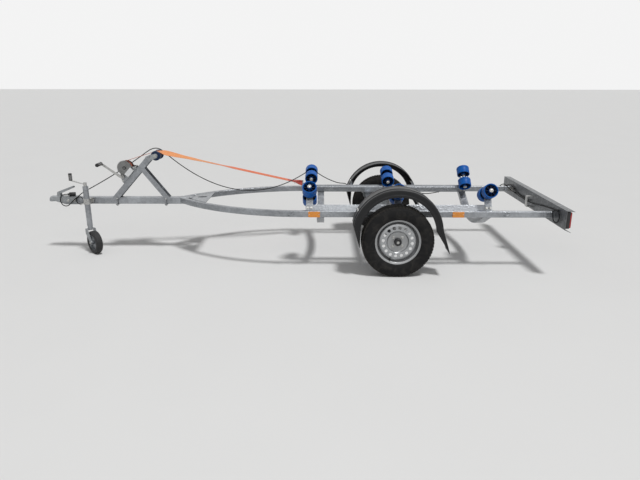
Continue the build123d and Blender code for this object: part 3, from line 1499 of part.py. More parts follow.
def main():
    os.makedirs("parts", exist_ok=True)
    save("drawbar", make_drawbar())
    save("chassis_rail_left", make_rail(-1))
    save("chassis_rail_right", make_rail(1))
    save("fork_gusset", make_gusset())
    save("crossmembers", *[make_crossmember(station) for station in crossmember_stations])
    save("bearers", make_bearer(-1), make_bearer(1))
    posts = []
    for name, side, station, reach, tilt in roller_groups:
        place = group_place(side, station, reach, tilt)
        posts.append(make_post(side, station, reach))
        save(f"cradle_{name}", place * make_cradle())
        save(f"rollers_{name}", place * make_roller(-1), place * make_roller(1))
    save("roller_posts", *posts)
    save("axle_tube", make_axle_tube())
    save("swing_arms", make_swing_arm(), mirrored(make_swing_arm()))
    pairs = (("tyre", make_tyre), ("rim", make_rim), ("hub", make_hub), ("mudguard", make_mudguard))
    for name, make in pairs:
        piece = make()
        save(f"{name}_left", piece)
        save(f"{name}_right", mirrored(piece))
    stays = [make_stay(angle) for angle in stay_angles]
    save("mudguard_stays", *stays, *[mirrored(stay) for stay in stays])
    save("coupling_body", make_coupling())
    save("coupling_handle", make_handle())
    save("jockey_clamp", make_jockey_clamp())
    save("jockey_leg", make_jockey_leg())
    save("jockey_inner_tube", make_jockey_inner())
    save("jockey_fork", make_jockey_fork())
    save("jockey_tyre", make_jockey_tyre())
    save("jockey_rim", make_jockey_rim())
    save("jockey_crank", make_jockey_crank())
    save("winch_post", make_winch_post())
    save("winch_brace", make_winch_brace())
    save("post_clamps", *make_post_clamps())
    save("bow_bracket", make_bow_bracket())
    save("bow_roller", make_bow_roller())
    save("winch_frame", make_winch_frame())
    save("winch_drum", make_winch_drum())
    save("winch_crank", make_winch_crank())
    save("strap_wound", make_wound_strap())
    save("strap_run", make_strap_run())
    save("light_board", make_light_board())
    save("lamp_housings", *make_lamp_housings())
    save("lamp_lenses", *make_lamp_lenses())
    save("board_brackets", *make_board_brackets())
    save("side_reflectors", *make_reflectors())
    save("lashing_hardware", *make_lashing_eyes(), make_strap_hook())
    save("cable_held", *make_held_cables())
    save("cable_free", cable_tube("free", free_cable_route()))
    save("plug", make_plug())
    save("cable_clips", *make_cable_clips())


if __name__ == "__main__":
    main()
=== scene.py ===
"""Boat trailer parked on its jockey wheel: finishes, webbing, cables, tread and fasteners over its solids."""

import logging
import math
import random
from collections.abc import Callable, Sequence
from dataclasses import dataclass
from enum import Enum
from typing import Any

import bmesh
import bpy
from mathutils import Matrix, Vector


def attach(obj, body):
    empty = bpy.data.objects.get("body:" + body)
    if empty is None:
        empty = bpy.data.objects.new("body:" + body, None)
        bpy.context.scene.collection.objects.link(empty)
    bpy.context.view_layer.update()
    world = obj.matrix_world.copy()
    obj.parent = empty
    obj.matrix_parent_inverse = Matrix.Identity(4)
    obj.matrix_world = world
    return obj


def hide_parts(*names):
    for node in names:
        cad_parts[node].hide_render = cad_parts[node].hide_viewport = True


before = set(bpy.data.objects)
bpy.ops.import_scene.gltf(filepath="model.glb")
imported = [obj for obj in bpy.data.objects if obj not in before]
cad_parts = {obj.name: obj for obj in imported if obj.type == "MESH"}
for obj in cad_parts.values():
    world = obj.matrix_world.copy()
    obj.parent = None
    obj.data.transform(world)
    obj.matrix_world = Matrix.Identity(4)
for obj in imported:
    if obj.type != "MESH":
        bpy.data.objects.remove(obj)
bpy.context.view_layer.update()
AXLE_X = 0.860
WHEEL_RADIUS = 0.287
FRAME_TOP = 0.495
RAIL_OUTER = 0.545
RAIL_INNER = 0.505
RAIL_BOTTOM = 0.445
log = logging.getLogger("trailer")

Pair = tuple[float, float]
Point = tuple[float, float, float]
Colour = tuple[float, float, float]


class Slot(Enum):
    """Material slots of the record."""

    GALVANISED = "galvanised"
    RIM = "rim_silver"
    ZINC = "zinc"
    TYRE = "tyre"
    ROLLER = "blue_roller"
    PLASTIC = "black_plastic"
    LENS = "red_lens"
    STRAP = "strap_orange"
    CABLE = "cable_black"
    RUBBER = "black_rubber"


class Side(Enum):
    """Sides of the trailer, by the sign of Y."""

    LEFT = -1
    RIGHT = 1

    @property
    def word(self) -> str:
        """Side as it stands in the names of nodes."""
        return self.name.lower()


def xa(station: float) -> float:
    """X of a station that is measured from the axle."""
    return AXLE_X + station


# Shader kit


def operator(operation: str, flip: bool = False) -> Callable[["Value", "Value | float"], "Value"]:
    """Arithmetic method of a value.

    Args:
        operation: the Math node's operation.
        flip: put the value last, for reflected operators.

    Returns:
        A method that adds the node.
    """

    def method(value: "Value", other: "Value | float") -> "Value":
        """Add the node."""
        return value.math(operation, *((other, value) if flip else (value, other)))

    return method


class Value:
    """A number that varies over a surface; arithmetic on it adds Math nodes."""

    def __init__(self, paint: "Nodes", socket: bpy.types.NodeSocket) -> None:
        """Wrap an output socket."""
        self.paint = paint
        self.socket = socket

    def math(self, operation: str, *values: "Value | float") -> "Value":
        """Add one Math node that works on the values, or on this one alone."""
        inputs = dict(enumerate(values or (self,)))
        return Value(self.paint, self.paint.node("ShaderNodeMath", {"operation": operation}, inputs).outputs[0])

    __add__ = __radd__ = operator("ADD")
    __sub__ = operator("SUBTRACT")
    __rsub__ = operator("SUBTRACT", flip=True)
    __mul__ = operator("MULTIPLY")
    __pow__ = operator("POWER")
    least = operator("MINIMUM")
    most = operator("MAXIMUM")

    def __abs__(self) -> "Value":
        """Size without sign."""
        return self.math("ABSOLUTE")

    def sine(self) -> "Value":
        """Sine of an angle in radians."""
        return self.math("SINE")

    def step(self, low: float, high: float) -> "Value":
        """Smooth step from 0 at low to 1 at high."""
        settings = {"interpolation_type": "SMOOTHSTEP"}
        node = self.paint.node("ShaderNodeMapRange", settings, {0: self, 1: low, 2: high})
        return Value(self.paint, node.outputs[0])


class Nodes:
    """A node tree, and the one way that nodes get into it."""

    def __init__(self, tree: bpy.types.NodeTree) -> None:
        """Take a tree."""
        self.tree = tree

    def node(
        self, kind: str, settings: dict[str, Any] | None = None, inputs: dict[int | str, Any] | None = None
    ) -> bpy.types.Node:
        """Add a node.

        Args:
            kind: the node's type.
            settings: its own settings, set first.
            inputs: values or links, by the socket's index or name.

        Returns:
            The node.
        """
        node = self.tree.nodes.new(kind)
        for name, value in (settings or {}).items():
            setattr(node, name, value)
        for key, value in (inputs or {}).items():
            self.feed(node.inputs[key], value)
        return node

    def feed(self, socket: bpy.types.NodeSocket, value: Any) -> None:
        """Link a value or socket to an input, or set the input."""
        if isinstance(value, Value):
            value = value.socket
        if isinstance(value, bpy.types.NodeSocket):
            self.tree.links.new(value, socket)
        else:
            socket.default_value = value


class Paint(Nodes):
    """The node tree of one material."""

    def __init__(self, name: str) -> None:
        """Start a material with its Principled shader."""
        self.material = bpy.data.materials.new(name)
        self.material.use_nodes = True
        super().__init__(self.material.node_tree)
        self.shader = self.tree.nodes["Principled BSDF"]

    def set(self, **values: Any) -> None:
        """Set or feed the shader's sockets, named with underscores."""
        for name, value in values.items():
            self.feed(self.shader.inputs[name.replace("_", " ").title().replace("Ior", "IOR")], value)

    def point(self, scale: Point = (1, 1, 1)) -> bpy.types.NodeSocket:
        """Place on the object, in metres, stretched by a scale."""
        place = self.node("ShaderNodeTexCoord").outputs["Object"]
        return self.node("ShaderNodeVectorMath", {"operation": "MULTIPLY"}, {0: place, 1: scale}).outputs[0]

    def axes(self, output: str = "Object", centre: Point = (0, 0, 0)) -> list[Value]:
        """The three coordinates of a place, measured from a centre."""
        place = self.node("ShaderNodeTexCoord").outputs[output]
        moved = self.node("ShaderNodeVectorMath", {"operation": "SUBTRACT"}, {0: place, 1: centre}).outputs[0]
        split = self.node("ShaderNodeSeparateXYZ", inputs={0: moved})
        return [Value(self, socket) for socket in split.outputs]

    def axle_distance(self) -> Value:
        """Distance from the line of the wheels' axle, in metres."""
        x, _, z = self.axes("Object", (AXLE_X, 0.0, WHEEL_RADIUS))
        return (x * x + z * z) ** 0.5

    def noise(
        self, point: bpy.types.NodeSocket, scale: float, detail: float = 2.0, warp: float = 0.0
    ) -> Value:
        """Cloudy noise of about 0 to 1, with a scale in waves per metre."""
        inputs = {"Vector": point, "Scale": scale, "Detail": detail, "Distortion": warp}
        return Value(self, self.node("ShaderNodeTexNoise", inputs=inputs).outputs["Fac"])

    def crystals(self, point: bpy.types.NodeSocket, scale: float) -> tuple[Value, Value]:
        """A random number for each cell of a broken surface, and the distance from the cell's middle."""
        node = self.node("ShaderNodeTexVoronoi", inputs={"Vector": point, "Scale": scale})
        split = self.node("ShaderNodeSeparateColor", inputs={0: node.outputs["Color"]})
        return Value(self, split.outputs[0]), Value(self, node.outputs["Distance"])

    def mix(self, share: Value, first: Any, second: Any) -> bpy.types.NodeSocket:
        """Blend two colours by a share."""
        colours = [(*c, 1.0) if isinstance(c, tuple) else c for c in (first, second)]
        node = self.node("ShaderNodeMix", {"data_type": "RGBA"}, {0: share, 6: colours[0], 7: colours[1]})
        return node.outputs[2]

    def bump(self, height: Value, depth: float) -> bpy.types.NodeSocket:
        """Surface relief of a depth in metres."""
        return self.node("ShaderNodeBump", inputs={"Height": height, "Distance": depth}).outputs[0]


def shaded(colour: Colour, factor: float) -> Colour:
    """Colour made lighter or darker by a factor."""
    return tuple(min(1.0, channel * factor) for channel in colour)


@dataclass(frozen=True)
class Finish:
    """A surface finish; each kind dresses its own material."""

    name: str
    colour: Colour
    roughness: float = 0.5

    def material(self) -> bpy.types.Material:
        """The finish's material, made on first use."""
        found = bpy.data.materials.get(self.name)
        if found:
            return found
        paint = Paint(self.name)
        self.dress(paint)
        return paint.material

    def dress(self, paint: Paint) -> None:
        """Fill the material's node tree."""
        raise NotImplementedError


@dataclass(frozen=True)
class HotDipZinc(Finish):
    """Hot-dip galvanised steel: crystals, cloudy runs and chalky patches."""

    spangle: float = 75.0
    chalk: float = 0.6

    def dress(self, paint: Paint) -> None:
        """Crystals and runs in colour, gloss and relief."""
        point = paint.point()
        crystal, edge = paint.crystals(point, self.spangle)
        cloud = paint.noise(point, 4.0, 4.0, 0.6)
        runs = paint.noise(paint.point((2.0, 14.0, 14.0)), 2.0, 3.0, 0.4)
        fine = paint.noise(point, 420.0, 2.0)
        chalk = (cloud * 0.6 + paint.noise(point, 23.0, 5.0) * 0.5).step(0.56, 0.72) * self.chalk
        tone = 0.5 + (crystal - 0.5) * 0.34 + (cloud - 0.5) * 0.7 + (runs - 0.5) * 0.5
        metal = paint.mix(tone, shaded(self.colour, 0.60), shaded(self.colour, 1.25))
        paint.set(
            base_color=paint.mix(chalk * 0.5, metal, shaded(self.colour, 1.5)),
            metallic=0.80 - chalk * 0.45,
            roughness=self.roughness + (0.5 - crystal) * 0.14 + chalk * 0.22 + (fine - 0.5) * 0.08,
            normal=paint.bump(crystal * 0.35 + edge * 3.0 + fine * 0.25 + runs * 0.8, 0.0005),
        )


@dataclass(frozen=True)
class PlatedZinc(Finish):
    """Bright zinc plate on fasteners and winch parts."""

    def dress(self, paint: Paint) -> None:
        """Bright metal with fingerprints of tarnish and fine brushing."""
        point = paint.point()
        tarnish = paint.noise(point, 38.0, 4.0, 1.0).step(0.42, 0.72)
        brush = paint.noise(paint.point((9.0, 1.0, 9.0)), 90.0, 2.0)
        paint.set(
            base_color=paint.mix(tarnish * 0.7, self.colour, shaded(self.colour, 0.55)),
            metallic=0.95,
            roughness=self.roughness + tarnish * 0.2 + (brush - 0.5) * 0.12,
            normal=paint.bump(brush, 0.00012),
        )


@dataclass(frozen=True)
class WheelSilver(Finish):
    """Silver wheel paint with flake, and painted shade in its low places: the hub recess and the well."""

    unshaded_radius: float = 0.112
    # colour of the painted shade in the hub recess and the well
    tint_colour: Colour = (0.20, 0.19, 0.18)

    def dress(self, paint: Paint) -> None:
        """Flake in the gloss; painted shade, mottled by noise, darkens the colour towards the hub and into the
        well.
        """
        # painted shade: full colour only in a band round the vents, darker towards the hub and into the well
        mask = 1.0 - abs(paint.axle_distance() - self.unshaded_radius).step(0.018, 0.04)
        point = paint.point()
        smear = paint.noise(point, 26.0, 4.0, 1.2)
        flake, _ = paint.crystals(point, 900.0)
        # the share named dust here is painted shade, mottled by the smear noise
        dust = (1.0 - mask) * (0.25 + smear * 0.6)
        paint.set(
            base_color=paint.mix(dust.least(1.0).most(0.0) * 0.42, self.colour, self.tint_colour),
            metallic=0.62,
            roughness=self.roughness + dust * 0.16 + (flake - 0.5) * 0.1,
            normal=paint.bump(flake * 0.4 + smear, 0.00015),
            coat_weight=0.35,
            coat_roughness=0.12,
        )


@dataclass(frozen=True)
class RoadTyre(Finish):
    """Tyre rubber, dusty on its tread and dull on its walls."""

    tread_radius: float = 0.279
    tint_colour: Colour = (0.115, 0.105, 0.092)

    def dress(self, paint: Paint) -> None:
        """Dust by the distance from the axle."""
        tread = paint.axle_distance().step(self.tread_radius - 0.006, self.tread_radius + 0.004)
        point = paint.point()
        patch = paint.noise(point, 17.0, 5.0, 0.8)
        grit = paint.noise(point, 600.0, 2.0)
        dust = (patch.step(0.4, 0.75) * 0.35 + tread * (0.25 + grit * 0.5)).least(1.0)
        paint.set(
            base_color=paint.mix(dust * 0.5, self.colour, self.tint_colour),
            roughness=self.roughness + dust * 0.2,
            normal=paint.bump(grit + patch * 0.5, 0.0003),
            specular_ior_level=0.22,
        )


@dataclass(frozen=True)
class Moulded(Finish):
    """Moulded rubber or plastic with a fine grain, scuffs and settled dust."""

    grain: float = 900.0
    grain_depth: float = 0.00012
    scuff: float = 0.35
    scuff_colour: Colour = (0.3, 0.3, 0.29)
    specular: float = 0.5

    def dress(self, paint: Paint) -> None:
        """Grain in the relief; scuffs and dust in colour and gloss."""
        point = paint.point()
        grain, _ = paint.crystals(point, self.grain)
        patch = paint.noise(point, 13.0, 5.0, 1.0)
        scratch = paint.noise(paint.point((3.0, 30.0, 30.0)), 9.0, 4.0, 0.5).step(0.60, 0.72)
        wear = (patch.step(0.45, 0.8) * 0.5 + scratch * 0.6).least(1.0) * self.scuff
        tone = paint.mix(patch, shaded(self.colour, 0.82), shaded(self.colour, 1.16))
        paint.set(
            base_color=paint.mix(wear * 0.35, tone, self.scuff_colour),
            roughness=self.roughness + wear * 0.25 + (grain - 0.5) * 0.06,
            normal=paint.bump(grain + scratch, self.grain_depth),
            specular_ior_level=self.specular,
        )


@dataclass(frozen=True)
class PrismLens(Finish):
    """Clear coloured lens over rows of small prisms."""

    prism: float = 0.005

    def dress(self, paint: Paint) -> None:
        """Prisms as crossed waves, with painted glints and painted shade of the prisms in the colour."""
        x, y, z = paint.axes()
        turn = math.pi / self.prism
        ribs = (abs(((x + y) * turn).sine()) + abs((z * turn).sine())) * 0.5
        glint, _ = paint.crystals(paint.point(), 1 / self.prism)
        mask = paint.noise(paint.point(), 30.0, 3.0)
        # painted glints and shade: ribs and random cells push the colour darker and brighter
        depth = (ribs * 0.75 + glint * 0.25).step(0.1, 0.95)
        paint.set(
            base_color=paint.mix(depth, shaded(self.colour, 0.45), shaded(self.colour, 1.3)),
            roughness=self.roughness + mask * 0.12,
            normal=paint.bump(ribs, 0.0006),
            coat_weight=0.8,
            coat_roughness=0.05,
        )


@dataclass(frozen=True)
class Webbing(Finish):
    """Woven strap: warp ribs, weft pitch, faded face, painted shade and a painted highlight, a red sewn end;
    UVs are metres along and across.
    """

    end_colour: Colour = (0.42, 0.012, 0.012)
    end_from: float = 99.0
    # colour of the painted highlight on the run just past the bow roller
    highlight_colour: Colour = (0.86, 0.36, 0.12)
    # distance along the strap where the painted shade ends and the painted highlight's band begins
    lit_from: float = 98.0
    highlight_offset: float = 0.22
    worn_colour: Colour = (0.86, 0.36, 0.22)
    # painted shade: factor that darkens the strap's colour before the bow roller
    shade: float = 0.55
    width: float = 0.050
    warp: float = 0.0026
    weft: float = 0.0019

    def dress(self, paint: Paint) -> None:
        """Twill from two crossed waves, with painted shade in its gaps and paler selvedges."""
        along, across, _ = paint.axes("UV")
        rib = abs((across * (math.pi / self.warp)).sine())
        twill = abs(((along + across * 0.5) * (math.pi / self.weft)).sine())
        weave = rib * 0.6 + twill * 0.4
        edge = abs(across - self.width / 2).step(self.width / 2 - 0.004, self.width / 2 - 0.001)
        fade = paint.noise(paint.point(), 9.0, 4.0)
        thread = paint.noise(paint.point(), 700.0, 2.0)
        # painted highlight: a paler band on the run just past the bow roller
        highlight_distance = abs(along - (self.lit_from + self.highlight_offset))
        painted_highlight = paint.mix((1.0 - highlight_distance.step(0.16, 0.46)) * 0.9, self.colour, self.highlight_colour)
        # painted shade: the strap stays darker until it reaches the bow roller
        shade = along.step(self.lit_from - 0.07, self.lit_from - 0.01)
        lit = paint.mix(shade, shaded(self.colour, self.shade), painted_highlight)
        dyed = paint.mix(along.step(self.end_from, self.end_from + 0.004), lit, self.end_colour)
        pale = paint.mix((fade * 0.35 + edge * 0.2) * (weave * 0.5 + 0.5), dyed, self.worn_colour)
        paint.set(
            # painted shade in the gaps of the weave
            base_color=paint.mix((1.0 - weave).step(0.25, 0.9) * 0.55, pale, shaded(self.colour, 0.22)),
            roughness=self.roughness + thread * 0.15,
            normal=paint.bump(weave + thread * 0.25, 0.0005),
            sheen_weight=0.25,
            sheen_roughness=0.5,
        )


FRAME_ZINC = HotDipZinc("galvanised_frame", (0.33, 0.345, 0.365), 0.34)
PRESSED_ZINC = HotDipZinc("galvanised_pressings", (0.33, 0.345, 0.36), 0.42, 110.0, 0.4)
# the board's zinc at about half the frame's colour: painted shade on the board
BOARD_ZINC = HotDipZinc("galvanised_board", (0.165, 0.172, 0.18), 0.38, 60.0, 0.35)
CAST_ZINC = HotDipZinc("galvanised_castings", (0.30, 0.315, 0.325), 0.46, 160.0, 0.7)
WELD_ZINC = HotDipZinc("galvanised_weld", (0.40, 0.42, 0.43), 0.5, 240.0, 0.8)
BOLT_ZINC = PlatedZinc("zinc_fasteners", (0.50, 0.50, 0.485), 0.28)
GEAR_ZINC = PlatedZinc("zinc_winch", (0.22, 0.222, 0.22), 0.34)
CRANK_ZINC = PlatedZinc("zinc_cranks", (0.50, 0.50, 0.49), 0.27)
RIM_SILVER = WheelSilver("wheel_silver", (0.37, 0.38, 0.39), 0.28)
TYRE_BLACK = RoadTyre("tyre_black", (0.007, 0.007, 0.0075), 0.74)
JOCKEY_RUBBER = Moulded(
    "jockey_rubber", (0.012, 0.012, 0.013), 0.68, 500.0, 0.0003, 0.6, (0.12, 0.10, 0.085)
)
ROLLER_BLUE = Moulded(
    "roller_blue", (0.0005, 0.092, 0.380), 0.42, 700.0, 0.00008, 0.12, (0.02, 0.14, 0.40), 0.22
)
# darker copy of the roller's blue: painted shade for the ribs and the web inside the roller's recess
ROLLER_PAINTED_SHADE = Moulded(
    "roller_painted_shade", (0.001, 0.008, 0.035), 0.60, 700.0, 0.0001, 0.2, (0.03, 0.05, 0.09), 0.2
)
BOW_BLUE = Moulded(
    "bow_roller_blue", (0.001, 0.014, 0.055), 0.46, 700.0, 0.0001, 0.25, (0.03, 0.05, 0.09), 0.3
)
GUARD_BLACK = Moulded(
    "mudguard_black", (0.007, 0.0075, 0.0085), 0.38, 1100.0, 0.0001, 0.2, (0.08, 0.078, 0.075), 0.35
)
LAMP_BLACK = Moulded("lamp_black", (0.010, 0.010, 0.011), 0.40)
GRIP_BLACK = Moulded("grip_black", (0.009, 0.009, 0.010), 0.52, scuff_colour=(0.14, 0.14, 0.14))
SHEATH_BLACK = Moulded(
    "cable_sheath", (0.004, 0.004, 0.0045), 0.5, 1500.0, 0.00005, 0.2, (0.08, 0.08, 0.08), 0.2
)
PLATE_WHITE = Moulded("plain_plate", (0.72, 0.73, 0.74), 0.35, 600.0, 0.00003, 0.3)
STITCH_RED = Moulded("stitch_thread", (0.30, 0.02, 0.015), 0.6, 2000.0, 0.00005, 0.1)
LENS_RED = PrismLens("lens_red", (0.42, 0.008, 0.008), 0.12)
LENS_AMBER = PrismLens("lens_amber", (0.85, 0.25, 0.010), 0.12)
LENS_CLEAR = PrismLens("lens_clear", (0.70, 0.71, 0.72), 0.12)
REFLECTOR_AMBER = PrismLens("reflector_amber", (0.93, 0.27, 0.010), 0.16, 0.0035)
# the turns on the drum take only a slight painted shade and no painted highlight
STRAP_ORANGE = Webbing("webbing_drum", (0.80, 0.155, 0.050), 0.62, shade=0.95)

SOLID_FINISHES: tuple[tuple[Finish, tuple[str, ...]], ...] = (
    (FRAME_ZINC, (
        "drawbar", "chassis_rail_left", "chassis_rail_right", "fork_gusset", "crossmembers", "bearers",
        "roller_posts", "axle_tube", "winch_post", "winch_brace", "jockey_leg", "jockey_inner_tube",
    )),
    (PRESSED_ZINC, (
        "mudguard_stays", "coupling_handle", "jockey_fork", "jockey_rim", "post_clamps", "bow_bracket",
        "winch_frame", "lashing_hardware",
    )),
    (CAST_ZINC, ("swing_arms", "coupling_body")),
    (CRANK_ZINC, ("winch_crank", "jockey_crank", "jockey_clamp", "board_brackets")),
    (BOARD_ZINC, ("light_board",)),
    (GEAR_ZINC, ("winch_drum",)),
    (BOW_BLUE, ("bow_roller",)),
    (JOCKEY_RUBBER, ("jockey_tyre",)),
    (LAMP_BLACK, ("lamp_housings", "plug", "cable_clips")),
    (REFLECTOR_AMBER, ("side_reflectors",)),
)


# Shapes


def place(
    origin: Sequence[float], along: Sequence[float] = (0, 0, 1), across: Sequence[float] = (1, 0, 0)
) -> Matrix:
    """Frame at a point.

    Args:
        origin: where it stands.
        along: direction of its local Z.
        across: a direction near its local X.

    Returns:
        The frame's matrix.
    """
    z = Vector(along).normalized()
    x = Vector(across) - z * Vector(across).dot(z)
    x = x.normalized() if x.length > 1e-6 else z.orthogonal().normalized()
    turn = Matrix((x, z.cross(x), z)).transposed().to_4x4()
    return Matrix.Translation(Vector(origin)) @ turn


def shift(at: Matrix, x: float, y: float, z: float) -> Matrix:
    """Frame moved along its own axes."""
    return at @ Matrix.Translation((x, y, z))


def turned(at: Matrix, index: int, count: int) -> Matrix:
    """Frame turned about its own Z by so many parts of a full circle."""
    return at @ Matrix.Rotation(math.tau * index / count, 4, "Z")


def polar(radius: float, angle: float) -> Pair:
    """Point on a circle about the origin."""
    return radius * math.cos(angle), radius * math.sin(angle)


def circle(radius: float, steps: int) -> list[Pair]:
    """Round outline."""
    return [polar(radius, math.tau * i / steps) for i in range(steps)]


def hexagon(across: float) -> list[Pair]:
    """Hexagon by its width over the flats."""
    return circle(across / math.sqrt(3), 6)


def slab(width: float, height: float, corner: float = 0.0) -> list[Pair]:
    """Rectangle with rounded corners, about its middle."""
    x, y = width / 2, height / 2
    points = [(x, -y), (x, y), (-x, y), (-x, -y)]
    return rounded(points, corner, closed=True) if corner else points


def rounded(points: Sequence[Pair], radius: float, steps: int = 3, closed: bool = False) -> list[Pair]:
    """Line of points with its corners rounded.

    Args:
        points: corners of the line.
        radius: radius at each corner, kept under half of the shorter side beside it.
        steps: pieces of each arc.
        closed: whether the line runs back to its start.

    Returns:
        The points of the rounded line.
    """
    corners = [Vector(p) for p in points]
    count = len(corners)
    line: list[Pair] = []
    for index, corner in enumerate(corners):
        if not closed and index in (0, count - 1):
            line.append(tuple(corner))
            continue
        before = corners[index - 1] - corner
        after = corners[(index + 1) % count] - corner
        angle = before.angle(after, math.pi)
        if angle > math.radians(175) or min(before.length, after.length) < 1e-7:
            line.append(tuple(corner))
            continue
        run = min(radius / math.tan(angle / 2), 0.48 * before.length, 0.48 * after.length)
        start, end = corner + before.normalized() * run, corner + after.normalized() * run
        for step in range(steps + 1):
            t = step / steps
            line.append(tuple(start * (1 - t) ** 2 + corner * (2 * t * (1 - t)) + end * t ** 2))
    return line


def inset(outline: Sequence[Pair], distance: float) -> list[Pair]:
    """Outline moved inwards by a distance, for outlines that run counter-clockwise."""
    moved = []
    count = len(outline)
    for index, corner in enumerate(outline):
        before = (Vector(corner) - Vector(outline[index - 1])).normalized()
        after = (Vector(outline[(index + 1) % count]) - Vector(corner)).normalized()
        left, right = Vector((-before.y, before.x)), Vector((-after.y, after.x))
        middle = left + right
        scale = distance / max(0.35, 1 + left.dot(right)) if middle.length > 1e-6 else 0.0
        moved.append(tuple(Vector(corner) + middle * scale))
    return moved


def smooth_line(points: Sequence[Sequence[float]], spacing: float) -> list[Vector]:
    """Points along straight runs, at an even spacing."""
    line = [Vector(points[0])]
    for start, end in zip(points, points[1:]):
        first, last = Vector(start), Vector(end)
        count = max(1, round((last - first).length / spacing))
        line += [first.lerp(last, (i + 1) / count) for i in range(count)]
    return line


@dataclass(frozen=True)
class Bolt:
    """Hexagon head or nut.

    Attributes:
        across: width over the flats.
        head: height of the head.
        washer: radius of the washer, or 0.
        stud: length of the thread that stands past a nut, or 0.
    """

    across: float
    head: float
    washer: float = 0.0
    stud: float = 0.0


CRADLE_BOLT = Bolt(0.017, 0.006, 0.0115)
CRADLE_NUT = Bolt(0.017, 0.006, 0.0115, 0.003)
WHEEL_BOLT = Bolt(0.017, 0.0088)
GUARD_NUT = Bolt(0.013, 0.006, 0.009, 0.004)
POST_BOLT = Bolt(0.019, 0.008, 0.013)
POST_NUT = Bolt(0.019, 0.008, 0.013, 0.004)
STAY_BOLT = Bolt(0.013, 0.0055, 0.010)
SEAT_NUT = Bolt(0.019, 0.008, 0.0125, 0.004)
ARM_BOLT = Bolt(0.024, 0.006, 0.016)
CLAMP_NUT = Bolt(0.0165, 0.0062, 0.0, 0.003)
SLEEVE_BOLT = Bolt(0.019, 0.0075, 0.0125)
SLEEVE_NUT = Bolt(0.019, 0.0075, 0.0125, 0.004)
ANGLE_BOLT = Bolt(0.013, 0.006, 0.010)
ANGLE_NUT = Bolt(0.013, 0.006, 0.010, 0.004)
JOCKEY_BOLT = Bolt(0.017, 0.007, 0.0115)
FORK_NUT = Bolt(0.017, 0.0065, 0.011, 0.003)
ROD_BOLT = Bolt(0.013, 0.0055, 0.0095)
BOW_NUT = Bolt(0.019, 0.007, 0.014, 0.003)
SHAFT_NUT = Bolt(0.019, 0.0056)


